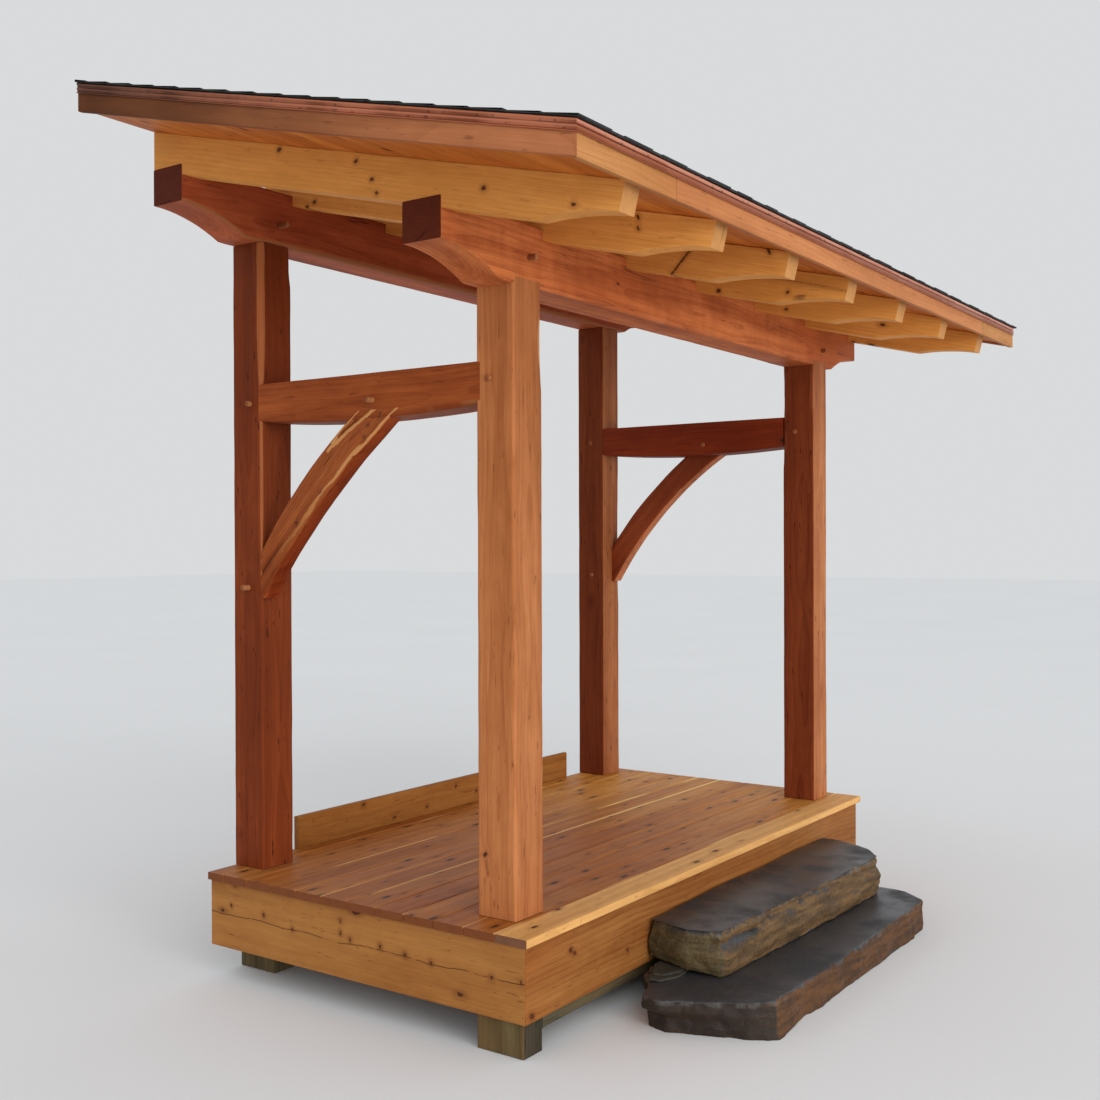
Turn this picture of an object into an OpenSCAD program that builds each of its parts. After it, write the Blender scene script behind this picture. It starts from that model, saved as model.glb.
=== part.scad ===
// Timber-frame porch canopy: a lean-to roof on four posts, over a small
// board deck with two stone steps. All sizes are in millimetres.
// X runs along the wall, Z is up and the wall plane is on the +Y side.
// Heights are given above the ground, or above the deck where it says so.
// Distances called "out" are measured from the wall plane towards the front.

/* [Posts] */
// Side of the square posts
post = 178; // [140:1:220]
// Width over the outer faces of the posts
frame_w = 2925; // [2700:5:3400]
// From the wall plane to the front face of the front posts
frame_out = 1550; // [1300:5:1900]
// Height of the front plate's top above the deck
front_plate_top = 2634; // [2450:1:2800]

/* [Plates] */
// Depth of the plates over the posts
plate_h = 236; // [200:1:280]
// Depth of the plates at their coved ends
plate_end_h = 150; // [110:1:180]
// How far the plates run past the posts
plate_past = 423; // [300:1:520]
// Straight stretch of a plate between the post and its cove
plate_flat = 82; // [40:1:140]

/* [Girts and braces] */
// Height of the girts' top above the deck
girt_top = 2118; // [2000:1:2200]
// Depth of a girt at its ends
girt_h = 161; // [130:1:200]
// How much deeper a girt is at its middle
girt_belly = 27; // [5:1:40]
// Thickness of a brace across the wall direction
brace_w = 80; // [60:1:120]
// Depth of a brace along its bend
brace_h = 131; // [100:1:160]
// Level nose at a brace's foot, in front of the post
brace_nose = 20; // [5:1:40]
// Height of a brace's foot above the deck
brace_foot = 1187; // [1100:1:1400]
// Where a brace's lower edge meets the girt, out from the wall plane
brace_head_out = 925; // [800:1:1050]
// Rise of the arch in a brace's lower edge
brace_bow = 61; // [30:1:80]

/* [Rafters] */
// Rise of the roof for each unit of run
roof_slope = 0.25; // [0.18:0.01:0.34]
// Width of a rafter
rafter_w = 96; // [70:1:110]
// Depth of a rafter, square to the slope
rafter_h = 155; // [130:1:180]
// How far out the rafter tails' top corners end
tail_out = 2302; // [2150:1:2400]
// Length of the coved cut under a rafter tail
tail_cove = 340; // [180:1:400]
// Rise of the coved cut under a rafter tail
tail_rise = 55; // [25:1:70]

/* [Roof] */
// Thickness of the roof boards seen from below
board_t = 38; // [25:1:45]
// Thickness of the sheathing on the boards
sheathing_t = 57; // [18:1:65]
// Thickness of the shingle layer
shingle_t = 12; // [10:1:25]
// How far the rake boards' outer faces stand past the plates' ends
rake_past = 357.5; // [280:0.5:450]
// Thickness of the rake boards and the fascia
fascia_t = 22; // [15:1:30]
// Gap between the rafter tails and the fascia
fascia_gap = 34; // [10:1:80]
// How far rake boards and fascia hang below the roof boards
fascia_drop = 12; // [0:1:25]
// How far the shingles run past the rake boards and fascia
shingle_past = 18; // [12:1:35]
// Thickness of the drip edge
drip_t = 2; // [1:0.5:3]
// Height of the drip edge's face
drip_face = 38; // [25:1:50]
// Width of the drip edge's flange under the shingles
drip_flange = 60; // [40:1:90]
// How far the drip edge's foot kicks out
drip_kick = 7; // [3:1:10]

/* [Deck] */
// Height of the deck above the ground
deck_z = 455; // [430:1:520]
// Thickness of the deck boards
deck_t = 32; // [25:1:38]
// How far the deck runs past the posts on the left
deck_past_left = 156; // [110:1:220]
// How far the deck runs past the posts on the right
deck_past_right = 93; // [90:1:220]
// How far the deck runs past the posts in front
deck_past_front = 162; // [120:1:200]
// Width of the border board along the front edge
border_w = 146; // [110:1:160]
// How far the deck edge stands proud of the skirts
nosing = 20; // [5:1:35]
// Height of the skirt boards
skirt_h = 286; // [240:1:300]
// Thickness of the skirt boards
skirt_t = 25; // [19:1:38]
// Height of the riser board at the wall
riser_h = 152; // [120:1:180]
// Length of the riser board at the wall
riser_w = 2220; // [2000:5:2300]
// Thickness of the riser board
riser_t = 25; // [19:1:38]

/* [Deck frame] */
// Thickness of joists and rims
joist_t = 38; // [35:1:45]
// Depth of joists and rims
joist_h = 184; // [140:1:200]
// Widest pitch of the joists
joist_pitch = 400; // [300:5:600]
// Width of the beams under the joists
beam_w = 140; // [89:1:160]
// Depth of the beams under the joists
beam_h = 156; // [120:1:180]
// Size of a footing block along the wall
block_w = 116; // [90:1:150]
// Size of a footing block out from the wall
block_d = 215; // [160:1:260]

/* [Stone steps] */
// Thickness of the lower slab
lower_h = 140; // [110:1:150]
// Width of the lower slab
lower_w = 2120; // [1900:1:2300]
// Depth of the lower slab
lower_d = 601; // [550:1:620]
// Left end of the lower slab, from the middle of the posts
lower_x = -1100; // [-1200:1:-900]
// Distance of the lower slab's back edge from the front skirt
lower_back = 48; // [20:1:50]
// Thickness of the upper slab
upper_h = 185; // [150:1:200]
// Width of the upper slab
upper_w = 1838; // [1600:1:1900]
// Depth of the upper slab
upper_d = 416; // [340:1:450]
// Left end of the upper slab, from the middle of the posts
upper_x = -790; // [-850:1:-650]
// Height of the stack of shims under the upper slab
shim_h = 17; // [10:1:40]
// Number of shims
shim_n = 2; // [1:1:4]
// Width of a shim
shim_w = 304; // [200:1:360]
// Depth of a shim
shim_d = 156; // [120:1:200]

/* [Hidden] */
$fn = 64;

// Colours of the finishes
stained = [0.50, 0.22, 0.11];
golden = [0.72, 0.44, 0.20];
decking = [0.56, 0.31, 0.17];
treated = [0.38, 0.33, 0.22];
copper = [0.78, 0.40, 0.28];
slate = [0.34, 0.31, 0.27];
black = [0.08, 0.08, 0.08];

// Places along the wall
post_x = frame_w / 2 - post / 2;
plate_half = frame_w / 2 + plate_past;
roof_half = plate_half + rake_past;
deck_left = -frame_w / 2 - deck_past_left;
deck_right = frame_w / 2 + deck_past_right;
skirt_left_x = deck_left + nosing;
skirt_right_x = deck_right - nosing;

// Distances out from the wall plane
fascia_out = tail_out + fascia_gap + fascia_t;
eave_out = fascia_out + shingle_past;
deck_out = frame_out + deck_past_front;
skirt_out = deck_out - nosing;
frame_in_out = skirt_out - skirt_t;
wall_y = eave_out / 2;

// Heights above the ground
front_seat = deck_z + front_plate_top;
rear_seat = front_seat + roof_slope * (frame_out - post);
girt_under = deck_z + girt_top - girt_h;
brace_foot_z = deck_z + brace_foot;
joist_z = deck_z - deck_t - joist_h;
beam_z = joist_z - beam_h;

// The roof's slope, and heights of its planes at a distance out
slope_angle = atan(roof_slope);
function plumb(t) = t / cos(slope_angle);
function rafter_under(out) = rear_seat - roof_slope * out;
function roof_z(out, above) = rafter_under(out) + plumb(rafter_h + above);
roof_t = board_t + sheathing_t;
roof_top = roof_z(0, roof_t + shingle_t);

// Radius of an arc over a run that ends level, and of an arc over a chord
function cove_radius(run, rise) = (run * run + rise * rise) / (2 * rise);
function bow_radius(chord, bow) = (chord * chord / 4 + bow * bow) / (2 * bow);

// A profile of distance out and height, extruded along the wall
module along_wall(x0, x1)
    translate([x0, wall_y, 0]) rotate([90, 0, 90]) linear_extrude(x1 - x0)
        mirror([1, 0]) children();

// A profile of place along the wall and height, extruded out from the wall
module outwards(out0, out1)
    translate([0, wall_y - out0, 0]) rotate([90, 0, 0]) linear_extrude(out1 - out0)
        children();

// A plan of place along the wall and distance out, extruded upwards
module upwards(z0, z1)
    translate([0, wall_y, z0]) linear_extrude(z1 - z0) mirror([0, 1]) children();

// A plain block between two corners: along the wall, out and up
module block(x0, x1, out0, out1, z0, z1)
    upwards(z0, z1) translate([x0, out0]) square([x1 - x0, out1 - out0]);

// Posts stand on the deck boards and carry the plates
module canopy_post(side, out0, top)
    color(stained)
        block(side * post_x - post / 2, side * post_x + post / 2, out0, out0 + post, deck_z, top);

module post_front_left() canopy_post(-1, frame_out - post, front_seat - plate_h);
module post_front_right() canopy_post(1, frame_out - post, front_seat - plate_h);
module post_rear_left() canopy_post(-1, 0, rear_seat - plate_h);
module post_rear_right() canopy_post(1, 0, rear_seat - plate_h);

// Plates run along the wall on the posts, with a cove under each end
module plate(out0, seat) {
    cove_run = plate_past - plate_flat;
    cove_rise = plate_h - plate_end_h;
    radius = cove_radius(cove_run, cove_rise);
    color(stained) outwards(out0, out0 + post) difference() {
        translate([-plate_half, seat - plate_h]) square([2 * plate_half, plate_h]);
        for (side = [-1, 1])
            translate([side * plate_half, seat - plate_end_h - radius]) circle(radius, $fn = 360);
    }
}

module plate_front() plate(frame_out - post, front_seat);
module plate_rear() plate(0, rear_seat);

// Girts tie the rear posts to the front posts, with a bellied underside
module girt_outline() {
    run = frame_out - 2 * post;
    radius = bow_radius(run, girt_belly);
    translate([post, girt_under]) square([run, girt_h]);
    intersection() {
        translate([post, girt_under - girt_belly]) square([run, girt_belly + 1]);
        translate([post + run / 2, girt_under - girt_belly + radius]) circle(radius, $fn = 720);
    }
}

module girt(side)
    color(stained) along_wall(side * post_x - post / 2, side * post_x + post / 2) girt_outline();

module girt_left() girt(-1);
module girt_right() girt(1);

// Braces are arched, from the rear posts up to the girts' undersides
module brace_outline() {
    foot_out = post + brace_nose;
    run = brace_head_out - foot_out;
    rise = girt_under - girt_belly - brace_foot_z;
    chord_angle = atan2(rise, run);
    radius = bow_radius(norm([run, rise]), brace_bow);
    middle = [foot_out + run / 2, brace_foot_z + rise / 2];
    centre = middle + (radius - brace_bow) * [sin(chord_angle), -cos(chord_angle)];
    difference() {
        intersection() {
            translate(centre) circle(radius + brace_h, $fn = 720);
            translate([post, brace_foot_z]) square([run + brace_nose, rise + girt_belly]);
        }
        translate(centre) circle(radius, $fn = 720);
        girt_outline();
    }
}

module brace(side) {
    outer = side * frame_w / 2;
    inner = outer - side * brace_w;
    color(stained) along_wall(min(outer, inner), max(outer, inner)) brace_outline();
}

module brace_left() brace(-1);
module brace_right() brace(1);

// Rafters sit on the plates in level seats; each tail is cut square, with a cove under it
rafter_n = 7;
rafter_pitch = (2 * plate_half - rafter_w) / (rafter_n - 1);

module rafter_outline() {
    radius = cove_radius(tail_cove, tail_rise);
    up = [sin(slope_angle), cos(slope_angle)];
    tail_top = [tail_out, roof_z(tail_out, 0)];
    tail = tail_top - rafter_h * up;
    difference() {
        polygon([
            [0, rafter_under(0)], tail,
            tail_top, [0, roof_z(0, 0)]
        ]);
        translate(tail + (tail_rise - radius) * up) circle(radius, $fn = 720);
        translate([-1, rear_seat - plate_h]) square([post + 1, plate_h]);
        translate([frame_out - post, front_seat - plate_h]) square([post, plate_h]);
    }
}

module rafter(i) {
    x0 = -plate_half + (i - 1) * rafter_pitch;
    color(golden) along_wall(x0, x0 + rafter_w) rafter_outline();
}

module rafter_1() rafter(1);
module rafter_2() rafter(2);
module rafter_3() rafter(3);
module rafter_4() rafter(4);
module rafter_5() rafter(5);
module rafter_6() rafter(6);
module rafter_7() rafter(7);

// A layer of the roof between two heights above the rafters, plumb at both ends
module roof_layer(half, out1, above0, above1, out0 = 0)
    along_wall(-half, half)
        polygon([
            [out0, roof_z(out0, above0)], [out1, roof_z(out1, above0)],
            [out1, roof_z(out1, above1)], [out0, roof_z(out0, above1)]
        ]);

module roof_boards()
    color(golden) roof_layer(roof_half - fascia_t, fascia_out - fascia_t, 0, board_t);

module roof_sheathing()
    color(treated) roof_layer(roof_half - fascia_t, fascia_out - fascia_t, board_t, roof_t);

module roof_shingles()
    color(black) difference() {
        roof_layer(roof_half + shingle_past, eave_out, roof_t, roof_t + shingle_t);
        drip_edges();
    }

// Parts of the roof's edge, split along mitre lines through the eave corners
module at_eave() {
    inner = roof_half - drip_flange;
    outer = roof_half + shingle_past;
    intersection() {
        children();
        upwards(deck_z, roof_top) polygon([
            [-outer, eave_out], [-inner, fascia_out - drip_flange],
            [inner, fascia_out - drip_flange], [outer, eave_out]
        ]);
    }
}

module at_rake(side) {
    inner = side * (roof_half - drip_flange);
    outer = side * (roof_half + shingle_past);
    intersection() {
        children();
        upwards(deck_z, roof_top) polygon([
            [outer, 0], [outer, eave_out], [inner, fascia_out - drip_flange], [inner, 0]
        ]);
    }
}

// Rake boards close the roof's ends and the fascia closes its eave
module edge_boards()
    color(golden) difference() {
        roof_layer(roof_half, fascia_out, -fascia_drop, roof_t);
        roof_layer(roof_half - fascia_t, fascia_out - fascia_t, -fascia_drop - 1, roof_t + 1, -1);
    }

module rake_board_left() at_rake(-1) edge_boards();
module rake_board_right() at_rake(1) edge_boards();
module eave_fascia() at_eave() edge_boards();

// The drip edges lie under the shingles and lap over the boards' faces,
// with a foot that kicks out
module drip_edges() {
    foot = roof_t - drip_face;
    color(copper) difference() {
        union() {
            roof_layer(roof_half + drip_t, fascia_out + drip_t, foot, roof_t + drip_t);
            roof_layer(roof_half + drip_kick, fascia_out + drip_kick, foot, foot + drip_t);
        }
        roof_layer(roof_half, fascia_out, foot - 1, roof_t, -1);
        roof_layer(roof_half - drip_flange, fascia_out - drip_flange, 0, roof_t + board_t, -1);
    }
}

module drip_edge_left() at_rake(-1) drip_edges();
module drip_edge_right() at_rake(1) drip_edges();
module drip_edge_eave() at_eave() drip_edges();

// The deck: boards along the wall, and a border board along the front edge
border_out = deck_out - border_w;

module deck_boards()
    color(decking) block(deck_left, deck_right, 0, border_out, deck_z - deck_t, deck_z);

module deck_border_board()
    color(golden) block(deck_left, deck_right, border_out, deck_out, deck_z - deck_t, deck_z);

// Skirts hang from the deck frame: one in front, one at each side, with
// mitred corners
skirt_top = deck_z - deck_t;

module skirt(outline)
    color(golden) upwards(skirt_top - skirt_h, skirt_top) polygon(outline);

module skirt_front()
    skirt([
        [skirt_left_x, skirt_out], [frame_x0, frame_in_out],
        [frame_x1, frame_in_out], [skirt_right_x, skirt_out]
    ]);

module skirt_left()
    skirt([[skirt_left_x, 0], [frame_x0, 0], [frame_x0, frame_in_out], [skirt_left_x, skirt_out]]);

module skirt_right()
    skirt([[skirt_right_x, 0], [frame_x1, 0], [frame_x1, frame_in_out], [skirt_right_x, skirt_out]]);

// The deck frame: joists between two rims, on two beams
frame_x0 = skirt_left_x + skirt_t;
frame_x1 = skirt_right_x - skirt_t;
joist_n = ceil((frame_x1 - frame_x0 - joist_t) / joist_pitch) + 1;
joist_step = (frame_x1 - frame_x0 - joist_t) / (joist_n - 1);

module deck_joists()
    color(treated) for (i = [0 : joist_n - 1])
        block(frame_x0 + i * joist_step, frame_x0 + i * joist_step + joist_t,
              joist_t, frame_in_out - joist_t, joist_z, joist_z + joist_h);

module rim_front()
    color(treated)
        block(frame_x0, frame_x1, frame_in_out - joist_t, frame_in_out, joist_z, joist_z + joist_h);

module rim_rear()
    color(treated) block(frame_x0, frame_x1, 0, joist_t, joist_z, joist_z + joist_h);

module beam_front()
    color(treated) block(frame_x0 + block_w, frame_x1 - block_w, frame_in_out - beam_w,
                         frame_in_out, beam_z, joist_z);

// The rear beam lies on its blocks, which stand under the rear posts
module beam_rear()
    color(treated) block(-frame_w / 2, frame_w / 2, 0, beam_w, beam_z, joist_z);

// Footing blocks: at the front corners beside the beam, at the rear under it
module footing_front(x0)
    color(treated) block(x0, x0 + block_w, frame_in_out - block_d, frame_in_out, 0, joist_z);

module footing_rear(side)
    color(treated) block(side * post_x - block_w / 2, side * post_x + block_w / 2,
                         0, block_d, 0, beam_z);

module footing_front_left() footing_front(frame_x0);
module footing_front_right() footing_front(frame_x1 - block_w);
module footing_rear_left() footing_rear(-1);
module footing_rear_right() footing_rear(1);

// The riser board stands on the deck against the wall, below the doorway
module door_riser()
    color(golden) block(-riser_w / 2, riser_w / 2, 0, riser_t, deck_z, deck_z + riser_h);

// Stone steps: two rough slabs with a broken right end. The upper one's left
// back corner rides up on thin shims, which lie on the lower slab.
lower_out = skirt_out + lower_back;
shim_shift = 6;
shim_x = upper_x + 45;

// A plan given as shares of its width and depth, with its corner at a place
module plan(x, out, w, d, shares)
    translate([x, out]) polygon([for (p = shares) [p[0] * w, p[1] * d]]);

module upper_plan()
    plan(upper_x, skirt_out, upper_w, upper_d, [
        [0.03, 0], [0, 0.55], [0.025, 0.846], [0.386, 0.933], [0.69, 0.971],
        [0.865, 1], [0.941, 0.75], [0.966, 0.5], [1, 0]
    ]);

module lower_plan()
    plan(lower_x, lower_out, lower_w, lower_d, [
        [0.0237, 0], [0, 0.2], [0, 0.37], [0.078, 0.86], [0.113, 0.985], [0.424, 1], [0.717, 0.993],
        [0.896, 0.97], [0.946, 0.752], [0.955, 0.507], [0.995, 0.195], [1, 0]
    ]);

module shim_plan()
    plan(shim_x, lower_out, shim_w, shim_d, [
        [-0.214, 0.02], [0.345, 0.02], [0.313, 0.897], [-0.099, 0.994],
        [-0.313, 1], [-0.602, 0.782], [-0.655, 0.487]
    ]);

// The hollow in the upper slab's underside over the shims
module shim_hollow()
    plan(shim_x, skirt_out, shim_w, lower_back + shim_d, [
        [-0.5, -0.01], [0.48, -0.01], [0.44, 1.02], [-0.5, 1.08]
    ]);

module step_lower()
    color(slate) upwards(0, lower_h) lower_plan();

module step_upper()
    color(slate) difference() {
        upwards(lower_h, lower_h + upper_h) upper_plan();
        upwards(lower_h - 1, lower_h + shim_h) shim_hollow();
    }

module step_shims()
    color(slate) for (i = [0 : shim_n - 1])
        upwards(lower_h + i * shim_h / shim_n, lower_h + (i + 1) * shim_h / shim_n)
            translate([shim_shift * i, shim_shift * i]) shim_plan();

post_front_left();
post_front_right();
post_rear_left();
post_rear_right();
plate_front();
plate_rear();
girt_left();
girt_right();
brace_left();
brace_right();
rafter_1();
rafter_2();
rafter_3();
rafter_4();
rafter_5();
rafter_6();
rafter_7();
roof_boards();
roof_sheathing();
roof_shingles();
rake_board_left();
rake_board_right();
eave_fascia();
drip_edge_left();
drip_edge_right();
drip_edge_eave();
deck_boards();
deck_border_board();
skirt_front();
skirt_left();
skirt_right();
deck_joists();
rim_front();
rim_rear();
beam_front();
beam_rear();
footing_front_left();
footing_front_right();
footing_rear_left();
footing_rear_right();
door_riser();
step_upper();
step_lower();
step_shims();
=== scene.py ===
import math
import random

import bmesh
import bpy
from mathutils import Matrix, Vector, noise


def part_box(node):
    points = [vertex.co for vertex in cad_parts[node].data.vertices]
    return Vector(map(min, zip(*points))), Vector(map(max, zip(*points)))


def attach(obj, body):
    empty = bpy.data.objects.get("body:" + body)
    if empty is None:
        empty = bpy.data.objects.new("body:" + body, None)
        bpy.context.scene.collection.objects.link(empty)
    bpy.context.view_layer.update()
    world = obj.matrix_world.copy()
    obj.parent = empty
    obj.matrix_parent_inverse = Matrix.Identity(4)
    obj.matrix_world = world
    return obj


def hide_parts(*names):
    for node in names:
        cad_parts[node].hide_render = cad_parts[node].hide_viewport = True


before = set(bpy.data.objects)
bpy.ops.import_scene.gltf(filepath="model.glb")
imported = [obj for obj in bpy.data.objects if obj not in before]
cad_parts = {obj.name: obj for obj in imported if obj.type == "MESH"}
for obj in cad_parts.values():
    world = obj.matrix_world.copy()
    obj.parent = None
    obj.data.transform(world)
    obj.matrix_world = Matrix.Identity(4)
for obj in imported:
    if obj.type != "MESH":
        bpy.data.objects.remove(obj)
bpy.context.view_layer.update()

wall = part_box("post_rear_left")[1].y
deck_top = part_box("deck_boards")[1].z


# ---- Stone steps ----
# Two thick slabs of split stone, laid dry on the ground and on each other,
# with the quarry's broken faces left in front and a few thin slates packed
# under the upper slab's left back corner to level it.

def pick(*pieces):
    """Selects only these pieces, in object mode, with the first one active."""
    if bpy.context.mode != "OBJECT":
        bpy.ops.object.mode_set(mode="OBJECT")
    bpy.ops.object.select_all(action="DESELECT")
    for piece in pieces:
        piece.select_set(True)
    if pieces:
        bpy.context.view_layer.objects.active = pieces[0]


def apply(piece, kind, **settings):
    """Adds a modifier with its settings and applies it."""
    pick(piece)
    modifier = piece.modifiers.new(kind.title(), kind)
    for name, value in settings.items():
        setattr(modifier, name, value)
    bpy.ops.object.modifier_apply(modifier=modifier.name)


def smooth(piece, degrees=38):
    pick(piece)
    bpy.ops.object.shade_smooth_by_angle(angle=math.radians(degrees))


def join(pieces, name):
    pick(*pieces)
    bpy.ops.object.join()
    pieces[0].name = pieces[0].data.name = name
    return pieces[0]


def cut_off(piece, *planes):
    """Cuts away what lies past each plane, given by a point and a direction, and closes the cut."""
    pick(piece)
    bpy.ops.object.mode_set(mode="EDIT")
    for point, away in planes:
        bpy.ops.mesh.select_all(action="SELECT")
        bpy.ops.mesh.bisect(plane_co=point, plane_no=away, use_fill=True, clear_outer=True)
    bpy.ops.object.mode_set(mode="OBJECT")


def share_of(value):
    """A value kept between 0 and 1."""
    return max(0.0, min(1.0, value))


def fix(piece, material, slot, *replaced):
    """Gives a finished piece its material and sets it in the frame for the plain solids."""
    piece.data.materials.clear()
    piece.data.materials.append(material)
    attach(piece, "root")
    if replaced:
        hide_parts(*replaced)


def start_material(name, metal=0.0, shine=0.5):
    material = bpy.data.materials.new(name)
    material.use_nodes = True
    tree = material.node_tree
    surface = tree.nodes["Principled BSDF"]
    surface.inputs["Metallic"].default_value = metal
    surface.inputs["Specular IOR Level"].default_value = shine
    return material, tree, surface


def add(tree, kind, inputs=None, **settings):
    """Adds a shader node; an input is a value or another node's output."""
    made = tree.nodes.new("ShaderNode" + kind)
    for name, value in settings.items():
        setattr(made, name, value)
    for name, value in (inputs or {}).items():
        if isinstance(value, bpy.types.NodeSocket):
            tree.links.new(value, made.inputs[name])
        else:
            made.inputs[name].default_value = value
    return made


def calc(tree, operation, *values, clamp=False):
    made = add(tree, "Math", dict(enumerate(values)), operation=operation, use_clamp=clamp)
    return made.outputs[0]


def times(tree, *values):
    return calc(tree, "MULTIPLY", *values)


def swing(tree, value, amount):
    """Turns a value about one half into one about nothing, as wide as the amount."""
    return times(tree, calc(tree, "SUBTRACT", value, 0.5), amount)


def vector(tree, operation, *values):
    return add(tree, "VectorMath", dict(enumerate(values)), operation=operation).outputs[0]


def grade(tree, value, low, high, to_low=0.0, to_high=1.0):
    """Runs a value smoothly from one pair of levels to another."""
    levels = {"Value": value, "From Min": low, "From Max": high, "To Min": to_low, "To Max": to_high}
    return add(tree, "MapRange", levels, interpolation_type="SMOOTHSTEP").outputs[0]


def mix(tree, share, under, over, blend="MIX"):
    made = add(tree, "Mix", {0: share}, data_type="RGBA", blend_type=blend)
    for index, value in ((6, under), (7, over)):
        if isinstance(value, bpy.types.NodeSocket):
            tree.links.new(value, made.inputs[index])
        else:
            made.inputs[index].default_value = (*value, 1.0)
    return made.outputs[2]


def dot(tree, value, other):
    return add(tree, "VectorMath", {0: value, 1: other}, operation="DOT_PRODUCT").outputs["Value"]


def parts(tree, value):
    """The three parts of a vector."""
    return add(tree, "SeparateXYZ", {"Vector": value}).outputs


def tinted(tree, share, colour, tint):
    """Multiplies a colour by a tint, as far as the share goes."""
    return mix(tree, share, colour, mix(tree, 1.0, colour, tint, "MULTIPLY"))


def mottle(tree, place, scale, detail=3.0, stretch=(1, 1, 1), rough=0.55, out="Fac"):
    """Cloudy noise over a place, stretched along each direction."""
    place = vector(tree, "MULTIPLY", place, stretch)
    return add(tree, "TexNoise", {"Vector": place, "Scale": scale, "Detail": detail,
                                  "Roughness": rough}).outputs[out]


def dress(tree, surface, colour, gloss, height, depth, strength):
    """Gives the surface its colour, its roughness and a fine relief."""
    bump = add(tree, "Bump", {"Height": height, "Distance": depth, "Strength": strength})
    for value, name in ((colour, "Base Color"), (gloss, "Roughness"), (bump.outputs[0], "Normal")):
        tree.links.new(value, surface.inputs[name])


def stone_material(name, top, front, left, rim, seed, scuffs=0.55):
    """Split stone: dark and damp on top, ochre where it broke in front, olive on its left end, and scuffed
    pale along the top edge, at the height rim."""
    material, tree, surface = start_material(name, shine=0.45)
    coords = add(tree, "TexCoord")
    place = vector(tree, "ADD", coords.outputs["Object"], (seed, seed, 0))
    facing = parts(tree, coords.outputs["Normal"])
    cloud = mottle(tree, place, 5.0, 4.0)
    grit = mottle(tree, place, 90.0, 4.0, rough=0.7)
    layers = mottle(tree, place, 14.0, 4.0, stretch=(0.35, 0.35, 3.0))
    wander = swing(tree, cloud, 0.9)
    is_top = grade(tree, calc(tree, "ADD", facing["Z"], wander), 0.35, 0.75)
    is_left = grade(tree, calc(tree, "SUBTRACT", wander, facing["X"]), 0.3, 0.65)
    rusty = mix(tree, grade(tree, layers, 0.35, 0.65), [c * 0.45 for c in front], front)
    mossy = mix(tree, grade(tree, layers, 0.35, 0.7), [c * 0.5 for c in left], left)
    side = mix(tree, is_left, rusty, mossy)
    damp = mix(tree, grade(tree, cloud, 0.35, 0.7), [c * 0.6 for c in top], top)
    colour = mix(tree, is_top, side, damp)
    height = parts(tree, coords.outputs["Object"])["Z"]
    edge = times(tree, grade(tree, height, rim - 0.030, rim - 0.014),
                grade(tree, facing["Z"], 0.97, 0.80))
    scuffed = grade(tree, mottle(tree, place, 22.0, 4.0, rough=0.6), 0.46, 0.62, 0.0, scuffs)
    colour = mix(tree, times(tree, edge, scuffed), colour, (0.27, 0.265, 0.25))
    speckle = grade(tree, grit, 0.35, 0.65, 0.72, 1.25)
    speckle = add(tree, "CombineColor", {0: speckle, 1: speckle, 2: speckle}).outputs[0]
    colour = mix(tree, 1.0, colour, speckle, "MULTIPLY")
    sparkle = mottle(tree, place, 260.0, 1.0)
    colour = mix(tree, times(tree, grade(tree, sparkle, 0.70, 0.76), 0.35), colour, (0.32, 0.32, 0.31))
    wet = grade(tree, times(tree, is_top, cloud), 0.25, 0.6, 0.72, 0.34)
    height = calc(tree, "ADD", times(tree, grit, 0.35), times(tree, layers, 0.65))
    dress(tree, surface, colour, wet, height, 0.006, 0.8)
    return material


def waver(place):
    """Noise between -1 and 1 along one line."""
    return noise.noise(Vector((place, 0.5, 0.5)))


def evenly(outline, count):
    """count points evenly spaced round a closed outline."""
    sides = list(zip(outline, outline[1:] + outline[:1]))
    total = sum((b - a).length for a, b in sides)
    points, walked = [], 0.0
    for a, b in sides:
        length = (b - a).length
        while len(points) < count and len(points) * total / count < walked + length - 1e-9:
            points.append(a.lerp(b, (len(points) * total / count - walked) / length))
        walked += length
    return points


def slab(name, outline, foot, top, voxel=0.0095):
    """A slab stood up from its outline and cut into even facets, ready to be broken."""
    pick()
    points = evenly([Vector((x, wall - out, foot)) for x, out in outline], 120)
    bpy.ops.mesh.primitive_circle_add(vertices=len(points), fill_type="NGON")
    piece = bpy.context.object
    piece.name = piece.data.name = name
    for vertex, point in zip(piece.data.vertices, points):
        vertex.co = point
    bpy.ops.object.mode_set(mode="EDIT")
    bpy.ops.mesh.select_all(action="SELECT")
    bpy.ops.mesh.extrude_region_move(TRANSFORM_OT_translate={"value": (0, 0, top - foot)})
    bpy.ops.mesh.select_all(action="SELECT")
    bpy.ops.mesh.normals_make_consistent(inside=False)
    bpy.ops.object.mode_set(mode="OBJECT")
    apply(piece, "REMESH", mode="VOXEL", voxel_size=voxel)
    apply(piece, "SMOOTH", factor=0.5, iterations=3)
    return piece


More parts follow.
